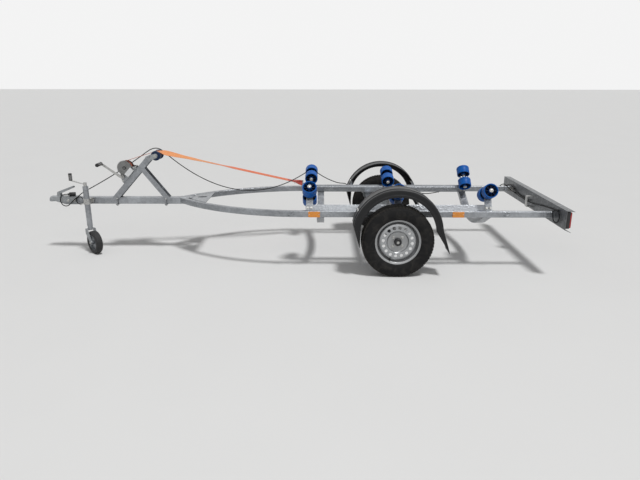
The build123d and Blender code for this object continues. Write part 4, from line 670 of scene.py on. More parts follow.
class Shape:
    """A mesh in the making, in metres, in the trailer's own frame."""

    def __init__(self, name: str, *finishes: Finish) -> None:
        """Start an empty mesh with its finishes; faces take the first one until use() is called."""
        self.name = name
        self.finishes = finishes
        self.mesh = bmesh.new()
        self.current = 0

    def use(self, finish: Finish) -> "Shape":
        """Give the faces that follow this finish."""
        self.current = self.finishes.index(finish)
        return self

    def face(self, corners: Sequence[bmesh.types.BMVert]) -> None:
        """Add one face."""
        made = self.mesh.faces.new(corners)
        made.material_index = self.current

    def skin(
        self, rings: Sequence[Sequence[Vector]], around: bool = True, along: bool = False, caps: bool = True
    ) -> None:
        """Join rings of points.

        Args:
            rings: rows with the same number of points.
            around: whether each row closes on itself.
            along: whether the last row joins the first.
            caps: whether the first and last rows are filled.
        """
        rows = [[self.mesh.verts.new(p) for p in ring] for ring in rings]
        count = len(rows[0])
        pairs = list(zip(rows, rows[1:])) + ([(rows[-1], rows[0])] if along else [])
        for low, high in pairs:
            for i in range(count if around else count - 1):
                j = (i + 1) % count
                self.face((low[i], low[j], high[j], high[i]))
        if caps and around and not along:
            self.face(rows[0][::-1])
            self.face(rows[-1])

    def lathe(self, at: Matrix, profile: Sequence[Pair], steps: int = 32, closed: bool = False) -> None:
        """Turn a profile of radius and height about local Z; a closed one runs back to its start."""
        rows = [[at @ Vector((r * c, r * s, h)) for r, h in profile] for c, s in circle(1.0, steps)]
        self.skin(rows, around=closed, along=True)

    def prism(self, at: Matrix, outline: Sequence[Pair], height: float, bevel: float) -> None:
        """Raise an outline along local Z, with bevelled edges."""
        end = inset(outline, bevel)
        levels = ((end, 0.0), (outline, bevel), (outline, height - bevel), (end, height))
        self.skin([[at @ Vector((x, y, z)) for x, y in ring] for ring, z in levels])

    def block(self, at: Matrix, size: Point, bevel: float) -> None:
        """Bevelled block whose base's middle is at the frame."""
        self.prism(at, slab(size[0], size[1], bevel), size[2], bevel)

    def pin(self, at: Matrix, radius: float, height: float, steps: int) -> None:
        """Plain round pin that stands on the frame."""
        self.lathe(at, [(0.0, 0.0), (radius, 0.0), (radius, height), (0.0, height)], steps)

    def tube(self, points: Sequence[Sequence[float]], radius: float | Sequence[float], sides: int) -> None:
        """Round bar along points; the radius may differ from point to point."""
        line = [Vector(p) for p in points]
        radii = [radius] * len(line) if isinstance(radius, float) else radius
        normal = (line[1] - line[0]).orthogonal().normalized()
        rings = []
        for index, centre in enumerate(line):
            tangent = (line[min(index + 1, len(line) - 1)] - line[max(index - 1, 0)]).normalized()
            normal = (normal - tangent * normal.dot(tangent)).normalized()
            other = tangent.cross(normal)
            rings.append([centre + (normal * x + other * y) * radii[index] for x, y in circle(1.0, sides)])
        self.skin(rings)

    def weld(self, points: Sequence[Sequence[float]], radius: float = 0.0028) -> None:
        """Weld bead with its ripples."""
        line = smooth_line(points, 0.0024)
        chance = random.Random(len(line))
        radii = [radius * (0.86 + 0.2 * (i % 2) + 0.12 * chance.random()) for i in range(len(line))]
        self.tube(line, radii, 6)

    def screw(self, at: Matrix, bolt: Bolt, washer: float = 0.0016, thread: float = 0.0012) -> None:
        """Hexagon head on a washer; a stud end makes it a nut.

        Args:
            at: frame on the face, local Z out of it.
            bolt: its sizes.
            washer: thickness of the washer.
            thread: pitch of the thread.
        """
        base, rim = washer if bolt.washer else 0.0, bolt.washer
        if rim:
            chamfer = base * 0.3
            section = [(0.0, 0.0), (rim, 0.0), (rim, base - chamfer), (rim - chamfer, base), (0.0, base)]
            self.lathe(at, section, 20)
        top = shift(at, 0, 0, base)
        self.prism(top, hexagon(bolt.across), bolt.head, bolt.across * 0.05)
        if bolt.stud:
            radius, end = bolt.across * 0.29, bolt.head + bolt.stud
            turns = max(2, round(bolt.stud / thread))
            rings = [(0.0, bolt.head)]
            for index in range(turns):
                crest, root = (bolt.head + bolt.stud * (index + part) / turns for part in (0, 0.5))
                rings += [(radius, crest), (radius * 0.9, root)]
            self.lathe(top, rings + [(radius * 0.8, end), (0.0, end)], 12)

    def dome(self, at: Matrix, radius: float, height: float) -> None:
        """Round head of a carriage bolt, screw or rivet."""
        rise = [(radius * c, height * s) for c, s in (polar(1.0, math.pi / 2 * i / 5) for i in range(6))]
        self.lathe(at, [(0.0, 0.0), *rise], 18)

    def object(
        self, body: str, slot: Slot, stands_for: Sequence[str] = (), sharp: float = 35.0
    ) -> bpy.types.Object:
        """Close the mesh into a piece that rides on a body.

        Args:
            body: the body that it moves with.
            slot: not used.
            stands_for: solids that it replaces.
            sharp: edges over this angle in degrees stay sharp.

        Returns:
            The piece.
        """
        bmesh.ops.remove_doubles(self.mesh, verts=self.mesh.verts, dist=2e-6)
        bmesh.ops.recalc_face_normals(self.mesh, faces=self.mesh.faces)
        data = bpy.data.meshes.new(self.name)
        self.mesh.to_mesh(data)
        self.mesh.free()
        for finish in self.finishes:
            data.materials.append(finish.material())
        data.shade_smooth()
        data.set_sharp_from_angle(angle=math.radians(sharp))
        return settle(data, body, stands_for)


def linked(data: bpy.types.ID) -> bpy.types.Object:
    """Object of the data's name, put into the scene."""
    made = bpy.data.objects.new(data.name, data)
    bpy.context.scene.collection.objects.link(made)
    return made


def settle(data: bpy.types.ID, body: str, stands_for: Sequence[str] = ()) -> bpy.types.Object:
    """Make data a piece of the scene, set it riding on a body and report it."""
    piece = linked(data)
    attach(piece, body)
    if stands_for:
        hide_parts(*stands_for)
    log.info("%s rides on %s", piece.name, body)
    return piece


# Places that several assemblies share


@dataclass(frozen=True)
class Chassis:
    """Sizes of the frame, and places on it."""

    arm_slope: float = math.radians(27)
    bearer_foot: float = 0.4436
    bearer_width: float = 0.040
    post_thickness: float = 0.008
    post_lean: float = math.radians(47.5)
    post_foot: float = -2.440
    bend_station: float = -0.740
    bend_radius: float = 1.480
    rail_half: float = 0.020

    def arm_point(self, side: int, along: float, up: float) -> Pair:
        """Y and Z from a bearer's foot: outwards along the arm, and square up from it."""
        slope = self.arm_slope
        foot = FRAME_TOP - (RAIL_INNER - self.bearer_foot) * math.tan(slope)
        y = self.bearer_foot + along * math.cos(slope) - up * math.sin(slope)
        return side * y, foot + along * math.sin(slope) + up * math.cos(slope)

    def leg_point(self, along: float, out: float, y: float = 0.0) -> Vector:
        """Point up the winch post from its foot, and square out of its front."""
        c, s = math.cos(self.post_lean), math.sin(self.post_lean)
        return Vector((xa(self.post_foot) + along * c - out * s, y, FRAME_TOP + along * s + out * c))

    def rail_y(self, side: int, station: float, face: int) -> float:
        """Y of a rail that bends inwards, at its outer face, 1, or its inner one, -1."""
        radius = self.bend_radius + face * self.rail_half
        run = max(0.0, self.bend_station - station)
        straight = RAIL_OUTER if face > 0 else RAIL_INNER
        return side * (straight - radius + math.sqrt(radius ** 2 - run ** 2))


CHASSIS = Chassis()
BOW_PIVOT = CHASSIS.leg_point(0.539, -0.034)
DRUM_CENTRE = CHASSIS.leg_point(0.268, 0.1035)
CRANK_CENTRE = CHASSIS.leg_point(0.194, 0.072)
GUARD_STATION = -0.005
STAY_ANGLES = (29.0, 151.0)
ACROSS = Vector((0, 1, 0))


class Way(Enum):
    """Directions on the right side of the trailer; those on the left mirror them."""

    OUT = (0, 1, 0)
    IN = (0, -1, 0)
    UP = (0, 0, 1)
    DOWN = (0, 0, -1)
    FRONT = (-1, 0, 0)
    REAR = (1, 0, 0)

    def on(self, side: int, spot: Point) -> Matrix:
        """Frame at a spot given by station, distance from the middle and height, turned this way."""
        station, y, z = spot
        return place((xa(station), side * y, z), (self.value[0], side * self.value[1], self.value[2]))


@dataclass(frozen=True)
class RollerGroup:
    """One cradle with its pair of rollers."""

    name: str
    side: int
    station: float
    reach: float
    tilt: float
    radius: float = 0.059
    width: float = 0.075
    gap: float = 0.060
    shell: float = 0.008
    hub: float = 0.017
    web: float = 0.008
    ribs: int = 8
    rib_thickness: float = 0.0055
    recess: float = 0.009
    corner: float = 0.004
    groove_inset: float = 0.0125
    groove_half: float = 0.0018
    groove_depth: float = 0.0012
    plate_outside: float = 0.0063
    pivot_outside: float = 0.0287

    def pivot(self) -> Vector:
        """Middle of the cradle's pivot."""
        across = CHASSIS.bearer_width / 2 + CHASSIS.post_thickness / 2
        return Vector((xa(self.station), *CHASSIS.arm_point(self.side, across, self.reach)))

    def at(self) -> Matrix:
        """Frame of the cradle, its shaft along local Y."""
        return Matrix.Translation(self.pivot()) @ Matrix.Rotation(math.radians(self.side * self.tilt), 4, "X")

    def shaft_frame(self, y: float, sign: int = 1) -> Matrix:
        """Frame on the shaft whose local Z runs along it."""
        return shift(self.at(), 0, y, 0) @ Matrix.Rotation(-sign * math.pi / 2, 4, "X")

    def profile(self) -> list[Pair]:
        """Half section of a roller: shell with a grooved face, web and hub."""
        half, r, wide = self.width / 2, self.radius, self.groove_half
        face = [(r - 0.0004, 0.0)]
        for h in (self.groove_inset, half - self.groove_inset):
            face += [(r, h - wide), (r - self.groove_depth, h), (r, h + wide)]
        corner = rounded([
            (r, half - 0.0095), (r, half), (r - self.shell, half), (r - self.shell - 0.001, self.web / 2),
            (self.hub + 0.001, self.web / 2), (self.hub, half), (0.01005, half), (0.01005, 0.0),
        ], self.corner, 4)
        upper = face + corner[1:]
        return upper + [(r, -h) for r, h in reversed(upper)][1:-1]

    def roller(self, pair: Shape, at: Matrix) -> None:
        """Add one roller: its blue shell, its ribs on both sides of the web in painted shade, and thin rings of
        painted shade laid over the web's faces.
        """
        half, inner = self.width / 2, self.radius - self.shell
        pair.use(ROLLER_BLUE).lathe(at, self.profile(), 72, closed=True)
        # the ribs take the painted shade copy of the blue
        pair.use(ROLLER_PAINTED_SHADE)
        outline = slab(inner - self.hub + 0.002, self.rib_thickness)
        rise = half - self.recess - self.web / 2
        for index in range(self.ribs):
            for base in (self.recess - half, self.web / 2):
                rib = shift(turned(at, index, self.ribs), (self.hub + inner) / 2, 0, base)
                pair.prism(rib, outline, rise, 0.0008)
        # thin rings just over the web's faces, in painted shade
        for end in (-1, 1):
            floor, lid = (end * (self.web / 2 + lift) for lift in (0.0002, 0.0004))
            faces = [(self.hub, floor), (inner, floor), (inner, lid), (self.hub, lid)]
            pair.lathe(at, faces, 72, closed=True)

    def build(self) -> None:
        """Make the roller pair and what fastens it."""
        pair = Shape(f"roller_pair_{self.name}", ROLLER_BLUE, ROLLER_PAINTED_SHADE)
        for sign in (-1, 1):
            self.roller(pair, self.shaft_frame(sign * (self.gap + self.width) / 2))
        pair.object(f"rollers_{self.name}", Slot.ROLLER, (f"rollers_{self.name}",))
        trim = Shape(f"cradle_fasteners_{self.name}", BOLT_ZINC)
        end = self.gap / 2 + self.width + self.plate_outside
        for sign in (-1, 1):
            at = self.shaft_frame(sign * end, sign)
            trim.lathe(at, [(0.0, 0.0), (0.0148, 0.0), (0.0148, 0.0012), (0.014, 0.0018), (0.0, 0.0018)], 28)
            trim.dome(shift(at, 0, 0, 0.0018), 0.0095, 0.004)
        for sign, bolt in ((-1, CRADLE_BOLT), (1, CRADLE_NUT)):
            face = shift(self.at(), sign * self.pivot_outside, 0, 0)
            trim.screw(face @ Matrix.Rotation(sign * math.pi / 2, 4, "Y"), bolt)
        trim.object(f"cradle_{self.name}", Slot.ZINC)


ROLLER_GROUPS = (
    RollerGroup("front_left", -1, -0.700, 0.144, 48),
    RollerGroup("middle_left", -1, 0.025, 0.144, 30),
    RollerGroup("rear_left", -1, 0.765, 0.160, 22),
    RollerGroup("front_right", 1, -0.700, 0.178, 15),
    RollerGroup("middle_right", 1, 0.025, 0.158, 20),
    RollerGroup("rear_right", 1, 0.765, 0.145, 46),
)


def groups_on(side: int) -> list[RollerGroup]:
    """Roller groups on one side, by its sign."""
    return [group for group in ROLLER_GROUPS if group.side == side]


# Camera, light and floor


@dataclass(frozen=True)
class Studio:
    """Camera at the photograph's angle, soft light and a plain pale floor."""

    position: Point = (0.268, -4.852, 1.544)
    pitch: float = 0.291
    yaw: float = -0.005
    roll: float = 0.001
    focal_pixels: float = 550.0
    image_width: float = 640.0
    sensor: float = 36.0
    floor_size: float = 60.0
    sky: Colour = (0.90, 0.90, 0.90)
    white: Colour = (1.0, 1.0, 1.0)
    floor_colour: Colour = (0.72, 0.72, 0.715)
    floor_drop: float = 0.0005
    key: float = 2.1
    key_angle: float = math.radians(9)
    key_direction: Point = (-0.27, 0.30, -0.91)
    fill: float = 45.0
    fill_size: Pair = (7.0, 3.0)
    fill_position: Point = (0.5, -5.5, 4.5)
    fill_target: Point = (0, 0, 0.3)
    ambient: float = 0.30

    def camera(self) -> None:
        """Create the camera."""
        data = bpy.data.cameras.new("photo_camera")
        data.sensor_width = self.sensor
        data.lens = self.focal_pixels / self.image_width * self.sensor
        data.clip_end = 200.0
        camera = linked(data)
        turn = Matrix.Rotation(-self.yaw, 4, "Z") @ Matrix.Rotation(math.pi / 2 - self.pitch, 4, "X")
        camera.matrix_world = Matrix.Translation(self.position) @ turn @ Matrix.Rotation(self.roll, 4, "Z")
        bpy.context.scene.camera = camera

    def lights(self) -> None:
        """Hang the key light, high behind the camera's right shoulder, and a broad soft fill."""
        key = bpy.data.lights.new("key_light", "SUN")
        key.energy = self.key
        key.angle = self.key_angle
        linked(key).rotation_euler = Vector(self.key_direction).to_track_quat("-Z", "Y").to_euler()
        fill = bpy.data.lights.new("fill_light", "AREA")
        fill.shape = "RECTANGLE"
        fill.size, fill.size_y = self.fill_size
        fill.energy = self.fill
        soft = linked(fill)
        soft.location = self.fill_position
        towards = Vector(self.fill_target) - soft.location
        soft.rotation_euler = towards.to_track_quat("-Z", "Y").to_euler()

    def world(self) -> None:
        """Pale background for the camera and for mirrors; dimmer for the light that it gives."""
        world = bpy.data.worlds.new("studio_world")
        world.use_nodes = True
        bpy.context.scene.world = world
        nodes = Nodes(world.node_tree)
        nodes.tree.nodes.remove(nodes.tree.nodes["Background"])
        path = nodes.node("ShaderNodeLightPath").outputs
        camera, mirror, glass = (
            Value(nodes, path[f"Is {ray} Ray"]) for ray in ("Camera", "Glossy", "Transmission")
        )
        backgrounds = [
            nodes.node("ShaderNodeBackground", inputs={"Color": (*colour, 1.0), "Strength": power}).outputs[0]
            for colour, power in ((self.white, self.ambient), (self.sky, 1.0))
        ]
        seen = camera.most(mirror).most(glass)
        blend = nodes.node("ShaderNodeMixShader", inputs={0: seen, 1: backgrounds[0], 2: backgrounds[1]})
        nodes.feed(nodes.tree.nodes["World Output"].inputs["Surface"], blend.outputs[0])

    def floor(self) -> None:
        """Lay the floor just under the tyres."""
        mesh = bmesh.new()
        bmesh.ops.create_grid(mesh, x_segments=8, y_segments=8, size=self.floor_size)
        data = bpy.data.meshes.new("studio_floor")
        mesh.to_mesh(data)
        mesh.free()
        paint = Paint("studio_floor")
        soft = paint.noise(paint.point(), 1.3, 4.0)
        paint.set(
            base_color=paint.mix(soft, shaded(self.floor_colour, 0.985), shaded(self.floor_colour, 1.015)),
            roughness=0.9,
            specular_ior_level=0.1,
        )
        data.materials.append(paint.material)
        floor = linked(data)
        floor.location = (0, 0, -self.floor_drop)

    def build(self) -> None:
        """Set up the whole stage."""
        bpy.context.scene.view_settings.view_transform = "Standard"
        self.camera()
        self.lights()
        self.world()
        self.floor()
        log.info("studio is set up")


# Cables


@dataclass(frozen=True)
class Cables:
    """The lighting cable: the free lead with its plug, and what the rail and the board hold."""

    radius: float = 0.004
    face_gap: float = 0.007
    clip_station: float = -0.350
    joint_z: float = 0.472
    free_length: float = 3.425
    over_pivot: float = 0.0285
    over_half: float = 0.0385
    over_roller: float = 0.044
    loop_radius: float = 0.038
    loop_station: float = -2.762
    loop_y: float = -0.038
    loop_z: float = 0.472
    plug_station: float = -2.886
    plug_y: float = -0.006
    plug_z: float = 0.5163
    plug_length: float = 0.066
    plug_radius: float = 0.017
    plug_ribs: int = 18
    pin_circle: float = 0.0088
    pin_radius: float = 0.0017

    def sagging(self, start: Point, end: Point, hang: Point, count: int) -> list[Point]:
        """Points of a slack span, without its end; its middle is moved by hang."""
        first, last = Vector(start), Vector(end)
        shares = [0.0] + [(index + 0.5) / count for index in range(count)]
        return [tuple(first.lerp(last, s) + Vector(hang) * (4 * s * (1 - s))) for s in shares]

    def free_route(self) -> list[Point]:
        """Control points of the free lead, from the last clip on the rail to the plug."""
        outer = RAIL_OUTER + self.face_gap
        group = groups_on(Side.RIGHT.value)[0]
        pivot = group.pivot()
        over = (pivot.y, pivot.z + self.over_pivot)
        clip, top, half = self.clip_station, FRAME_TOP, self.over_half
        route = [
            (xa(clip), outer, self.joint_z), (xa(clip), outer, top + 0.006),
            (xa(clip - 0.020), outer - 0.008, top + 0.021), (xa(clip - 0.046), outer - 0.026, top + 0.026),
        ]
        front, rear = xa(group.station - half), xa(group.station + half)
        crest = (xa(clip - 0.080), outer - 0.046, top + 0.032)
        route += self.sagging(crest, (rear, *over), (0, 0, -0.016), 3)
        route += [(rear, *over)]
        roller, side = BOW_PIVOT, self.over_roller
        rise = (roller.x + 0.022, side, roller.z + 0.046)
        route += self.sagging((front, *over), rise, (0, -0.016, -0.268), 17)
        route += [rise, (roller.x - 0.020, side + 0.001, roller.z + 0.057),
                  (roller.x - 0.065, side + 0.006, roller.z + 0.047)]
        near, x, z = self.loop_y, xa(self.loop_station), self.loop_z
        past = (roller.x - 0.110, side + 0.012, roller.z + 0.020)
        drawbar_top = (x + 0.022, 0.030, top + 0.044)
        route += self.sagging(past, drawbar_top, (0, 0.024, -0.014), 6)
        route += [drawbar_top, (x - 0.008, near / 12, top + 0.023), (x - 0.022, near, top + 0.005)]
        for index in range(7):
            dx, dz = polar(self.loop_radius, math.radians(163 + 45 * index))
            route.append((x + dx, near - 0.008 - 0.0025 * index, z + dz))
        tip = xa(self.plug_station)
        return route + [
            (x - 0.024, near - 0.023, z + 0.026), (x - 0.060, near - 0.018, z - 0.003),
            (x - 0.090, near - 0.014, z - 0.035), (x - 0.124, near - 0.012, z - 0.057),
            (x - 0.160, near - 0.012, z - 0.047), (tip - 0.054, near - 0.011, z - 0.012),
            (tip - 0.052, near - 0.006, z + 0.023), (tip - 0.044, near + 0.006, self.plug_z - 0.006),
            (tip - 0.028, self.plug_y - 0.007, self.plug_z), (tip, self.plug_y, self.plug_z),
        ]

    def curve(self, name: str, points: Sequence[Point]) -> bpy.types.Curve:
        """Smooth round lead that follows control points."""
        data = bpy.data.curves.new(name, "CURVE")
        data.dimensions = "3D"
        data.bevel_depth = self.radius
        data.bevel_resolution = 3
        data.resolution_u = 5
        data.use_fill_caps = True
        spline = data.splines.new("NURBS")
        spline.points.add(len(points) - 1)
        for point, where in zip(spline.points, points):
            point.co = (*where, 1.0)
        spline.order_u = 3
        spline.use_endpoint_u = True
        data.materials.append(SHEATH_BLACK.material())
        return data

    def plug(self, route: Sequence[Point]) -> bpy.types.Object:
        """Round trailer plug: ribbed neck, grip ring, body with its grooves and contact pins."""
        before, end = Vector(route[-2]), Vector(route[-1])
        at = place(end, end - before, (0, 0, 1))
        shape = Shape("seven_pin_plug", GRIP_BLACK, GEAR_ZINC)
        neck = [(0.0, 0.0), (0.0062, 0.0)]
        for z in (0.002 + 0.0026 * index for index in range(4)):
            neck += [(0.0086, z), (0.0086, z + 0.0013), (0.0070, z + 0.0016), (0.0070, z + 0.0022)]
        r, top, foot = self.plug_radius, self.plug_length, 0.0132
        groove = r - 0.0012
        body = rounded([
            (0.0100, foot), (r - 0.003, foot), (r, 0.018), (r, 0.030), (groove, 0.0305), (groove, 0.034),
            (r, 0.0345), (r, top), (r - 0.0022, top), (r - 0.0026, top - 0.012), (0.0, top - 0.012),
        ], 0.0007, 2)
        shape.lathe(at, neck + body, 36)
        for index in range(self.plug_ribs):
            rib = shift(turned(at, index, self.plug_ribs), r - 0.0006, 0, 0.0365)
            shape.block(rib, (0.0010, 0.0022, 0.018), 0.0004)
        shape.use(GEAR_ZINC)
        for x, y in [(0.0, 0.0), *circle(self.pin_circle, 6)]:
            shape.dome(shift(at, x, y, top - 0.0121), self.pin_radius, 0.008)
        return shape.object("chassis", Slot.PLASTIC, ("plug",))

    def build(self) -> None:
        """Lay the leads and the plug."""
        route = self.free_route()
        plug = self.plug(route)
        lead = settle(self.curve("free_cable", route), "chassis", ("cable_free",))
        2 * self.radius
        outer = RAIL_OUTER + self.face_gap
        rail = [(x, outer, z) for x, z in ((self.clip_station, self.joint_z), *RAIL_RUN)]
        runs = (("held_cable", (*rail, *BOARD_RUN), ("cable_held",)), ("lamp_branch", BRANCH_RUN, ()))
        for name, run, stands_for in runs:
            settle(self.curve(name, [(xa(x), y, z) for x, y, z in run]), "chassis", stands_for)


RAIL_RUN: tuple[Pair, ...] = (
    (-0.350, 0.452), (-0.336, 0.440), (-0.300, 0.439), (-0.235, 0.447), (-0.150, 0.457), (-0.045, 0.452),
    (0.060, 0.446), (0.170, 0.440), (0.280, 0.437), (0.360, 0.421), (0.440, 0.410), (0.520, 0.421),
    (0.600, 0.441), (0.700, 0.447), (0.800, 0.445), (0.900, 0.442), (1.000, 0.446), (1.090, 0.456),
    (1.150, 0.476),
)
BOARD_RUN: tuple[Point, ...] = (
    (1.182, 0.550, 0.506), (1.200, 0.522, 0.520), (1.212, 0.486, 0.508), (1.232, 0.455, 0.482),
    (1.258, 0.412, 0.464), (1.266, 0.350, 0.456), (1.267, 0.270, 0.451), (1.268, 0.180, 0.452),
    (1.267, 0.090, 0.449), (1.266, 0.010, 0.452), (1.262, -0.065, 0.460), (1.266, -0.140, 0.466),
    (1.267, -0.220, 0.480), (1.266, -0.310, 0.491), (1.267, -0.400, 0.499), (1.266, -0.480, 0.507),
    (1.267, -0.545, 0.512), (1.266, -0.600, 0.520), (1.266, -0.645, 0.505), (1.265, -0.662, 0.466),
    (1.262, -0.640, 0.430), (1.257, -0.600, 0.420), (1.254, -0.566, 0.440), (1.253, -0.562, 0.478),
    (1.243, -0.572, 0.500), (1.240, -0.590, 0.515), (1.252, -0.608, 0.520), (1.275, -0.608, 0.520),
)
BRANCH_RUN: tuple[Point, ...] = (
    (1.275, 0.642, 0.470), (1.255, 0.642, 0.470), (1.240, 0.626, 0.476), (1.240, 0.600, 0.486),
    (1.252, 0.572, 0.500), (1.264, 0.540, 0.510), (1.266, 0.500, 0.512), (1.267, 0.455, 0.500),
    (1.266, 0.400, 0.484), (1.267, 0.330, 0.472), (1.267, 0.250, 0.467), (1.266, 0.160, 0.467),
    (1.267, 0.080, 0.465), (1.266, 0.010, 0.470), (1.262, -0.045, 0.480),
)


# Wheels and mudguards


@dataclass(frozen=True)
class Wheel:
    """One road wheel: tyre, pressed rim, hub and valve."""

    side: Side
    centre_y: float = 0.662
    tyre_radius: float = WHEEL_RADIUS
    pitches: int = 68
    groove_depth: float = 0.007
    vents: int = 16
    vent_circle: float = 0.115
    vent_turn: float = math.radians(16.6)
    vent_steps: int = 8
    vent_edges: Pair = (0.0960, 0.1340)
    bolt_circle: float = 0.050
    disc_face: float = 0.0352
    sheet: float = 0.0045
    valve_circle: float = 0.158
    valve_out: float = 0.030
    valve_angle: float = 22.0

    def at(self, out: float = 0.0) -> Matrix:
        """Frame on the axle, local Z outwards."""
        sign = self.side.value
        return place((AXLE_X, sign * (self.centre_y + out), WHEEL_RADIUS), (0, sign, 0), (0, 0, 1))

    def close(self, shape: Shape, slot: Slot, part: str, sharp: float) -> None:
        """Finish a piece that spins with the wheel and stands for one of its solids."""
        shape.object(f"wheel_{self.side.word}", slot, (f"{part}_{self.side.word}",), sharp)

    def section(self) -> list[tuple[float, float, float]]:
        """Half of the tyre's section from the rim to the middle of the tread.

        Returns:
            For each point its radius, its distance from the middle plane and how much of a notch it takes.
        """
        wall = []
        bulge, foot, top, notched = 0.2308, 0.1825, 0.2780, 0.266
        ribs = (
            (0.190, 0.0014, 0.0035), (0.2035, -0.0006, 0.002), (0.222, 0.0005, 0.003), (0.262, 0.0011, 0.0035),
        )
        for index in range(29):
            radius = foot + (top - foot) * index / 28
            t = (radius - bulge) / (top - foot) * 2
            out = 0.078 - 0.0145 * abs(t) ** 2.1
            out += sum(rise * math.exp(-((radius - where) / spread) ** 2) for where, rise, spread in ribs)
            wall.append((radius, out, 0.0 if radius < notched else 0.35 * (radius - notched) / 0.012))
        edge = [(0.2815, 0.0650, 0.7), (0.2845, 0.0615, 0.9), (0.2862, 0.0570, 1.0), (0.2870, 0.0500, 1.0),
                (0.2870, 0.0445, 1.0)]
        grooves = []
        low, high, block = self.tyre_radius - self.groove_depth, self.tyre_radius, 0.0185
        for outer, inner, notch in ((0.0435, 0.0365, 0.45), (block, 0.0125, 0.0)):
            beside = block if inner > block else 0.0
            grooves += [(low, outer - 0.0012, 0.0), (low, inner + 0.0012, 0.0), (high, inner, notch),
                        (high, (inner + beside) / 2, notch)]
            if beside:
                grooves.append((high, beside, notch))
        return [(0.1790, 0.0580, 0.0)] + wall + edge + grooves

    def tyre(self) -> None:
        """Tyre with its grooves, notches and ribbed walls."""
        half = self.section()
        section = half + [(r, -y, n) for r, y, n in reversed(half[:-1])]
        shape = Shape(f"tyre_tread_{self.side.word}", TYRE_BLACK)
        at = self.at()
        rows = []
        for pitch in range(self.pitches):
            for share, cut in ((0.0, 1.0), (0.04, 0.0), (0.80, 0.0), (0.84, 1.0)):
                row = []
                for radius, y, notch in section:
                    skew = 0.35 * abs(y) / 0.06 if abs(y) < 0.0640 else 0.37
                    angle = math.tau * (pitch + share + skew) / self.pitches
                    r = radius - cut * notch * self.groove_depth * 0.85
                    row.append(at @ Vector((*polar(r, angle), y)))
                rows.append(row)
        shape.skin(rows, around=False, along=True)
        self.close(shape, Slot.TYRE, "tyre", 40)

    def disc_height(self, radius: float) -> float:
        """Distance outwards of the disc's face at a radius."""
        line = rounded([
            (0.1520, 0.010), (0.1465, 0.041), (0.1330, 0.0490), (0.0900, 0.0490), (0.0785, self.disc_face),
            (0.0300, self.disc_face),
        ], 0.006, 5)
        for (r1, h1), (r0, h0) in zip(line, line[1:]):
            if r0 <= radius <= r1:
                return h0 + (h1 - h0) * (radius - r0) / (r1 - r0) if r1 > r0 else h0
        return line[-1][1]

    def disc(self, shape: Shape) -> None:
        """Dished disc with rolled vents."""
        at = self.at()
        per, middle = self.vent_steps, self.vent_circle
        steps = self.vents * per

        def face(radius: float, angle: float, drop: float = 0.0) -> Vector:
            """Point on the disc's face."""
            return at @ Vector((*polar(radius, angle + self.vent_turn), self.disc_height(radius) - drop))

        inner, outer = self.vent_edges
        for radii in (
            [0.0302, 0.0330, 0.0420, 0.0560, 0.0680, 0.0750, 0.0775, 0.0795, 0.0815, 0.0840, 0.0870, 0.0895,
             inner],
            [outer, 0.1370, 0.1400, 0.1430, 0.1448, 0.1462, 0.1470, 0.1480, 0.1495, 0.1515],
        ):
            rows = [[face(r, math.tau * (i + per / 2) / steps) for r in radii] for i in range(steps)]
            shape.skin(rows, around=False, along=True)
        lip = ((0.0160, -0.0004), (0.0142, 0.0), (0.0132, 0.0012), (0.0128, 0.0030), (0.0128, 0.0060))
        for vent in range(self.vents):
            start = math.tau * vent / self.vents
            angles = [start + math.tau * (i - per / 2) / steps for i in range(per + 1)]
            sides = [inner + (outer - inner) * i / 4 for i in range(5)]
            border = [(outer, a) for a in angles] + [(r, angles[-1]) for r in sides[-2:0:-1]]
            border += [(inner, a) for a in reversed(angles)] + [(r, angles[0]) for r in sides[1:-1]]
            rings = [[face(r, a) for r, a in border]]
            for radius, drop in lip:
                ring = []
                for r, a in border:
                    direction = Vector((r - middle, (a - start) * middle)).normalized() * radius
                    ring.append(face(middle + direction.x, start + direction.y / middle, drop))
                rings.append(ring)
            shape.skin(rings, caps=False)

    def rim(self) -> None:
        """Rim barrel with its flanges, the disc and the valve."""
        shape = Shape(f"pressed_rim_{self.side.word}", RIM_SILVER, GRIP_BLACK)
        outer = [
            (0.1825, -0.061), (0.1840, -0.0575), (0.1720, -0.056), (0.168, -0.031), (0.154, -0.019),
            (0.154, 0.016), (0.168, 0.028), (0.1700, 0.053), (0.1835, 0.0575), (0.1825, 0.061),
        ]
        inner = [(r - self.sheet, h) for r, h in reversed(outer)]
        shape.lathe(self.at(), rounded(outer + inner, 0.005, 3, closed=True), 128, closed=True)
        self.disc(shape)
        sign = self.side.value
        angle = math.radians(sign * self.valve_angle - 90)
        x, z = polar(self.valve_circle, angle)
        root = (AXLE_X + x, sign * (self.centre_y + self.valve_out), WHEEL_RADIUS + z)
        stem = place(root, (-0.30 * math.cos(angle), sign * 0.95, -0.30 * math.sin(angle)), (1, 0, 0))
        shape.use(GRIP_BLACK)
        shape.lathe(stem, [(0.0, 0.0), (0.0075, 0.0), (0.0075, 0.004), (0.0048, 0.010), (0.0042, 0.024),
                           (0.0048, 0.0245), (0.0048, 0.0335), (0.004, 0.035), (0.0, 0.035)], 20)
        self.close(shape, Slot.RIM, "rim", 30)

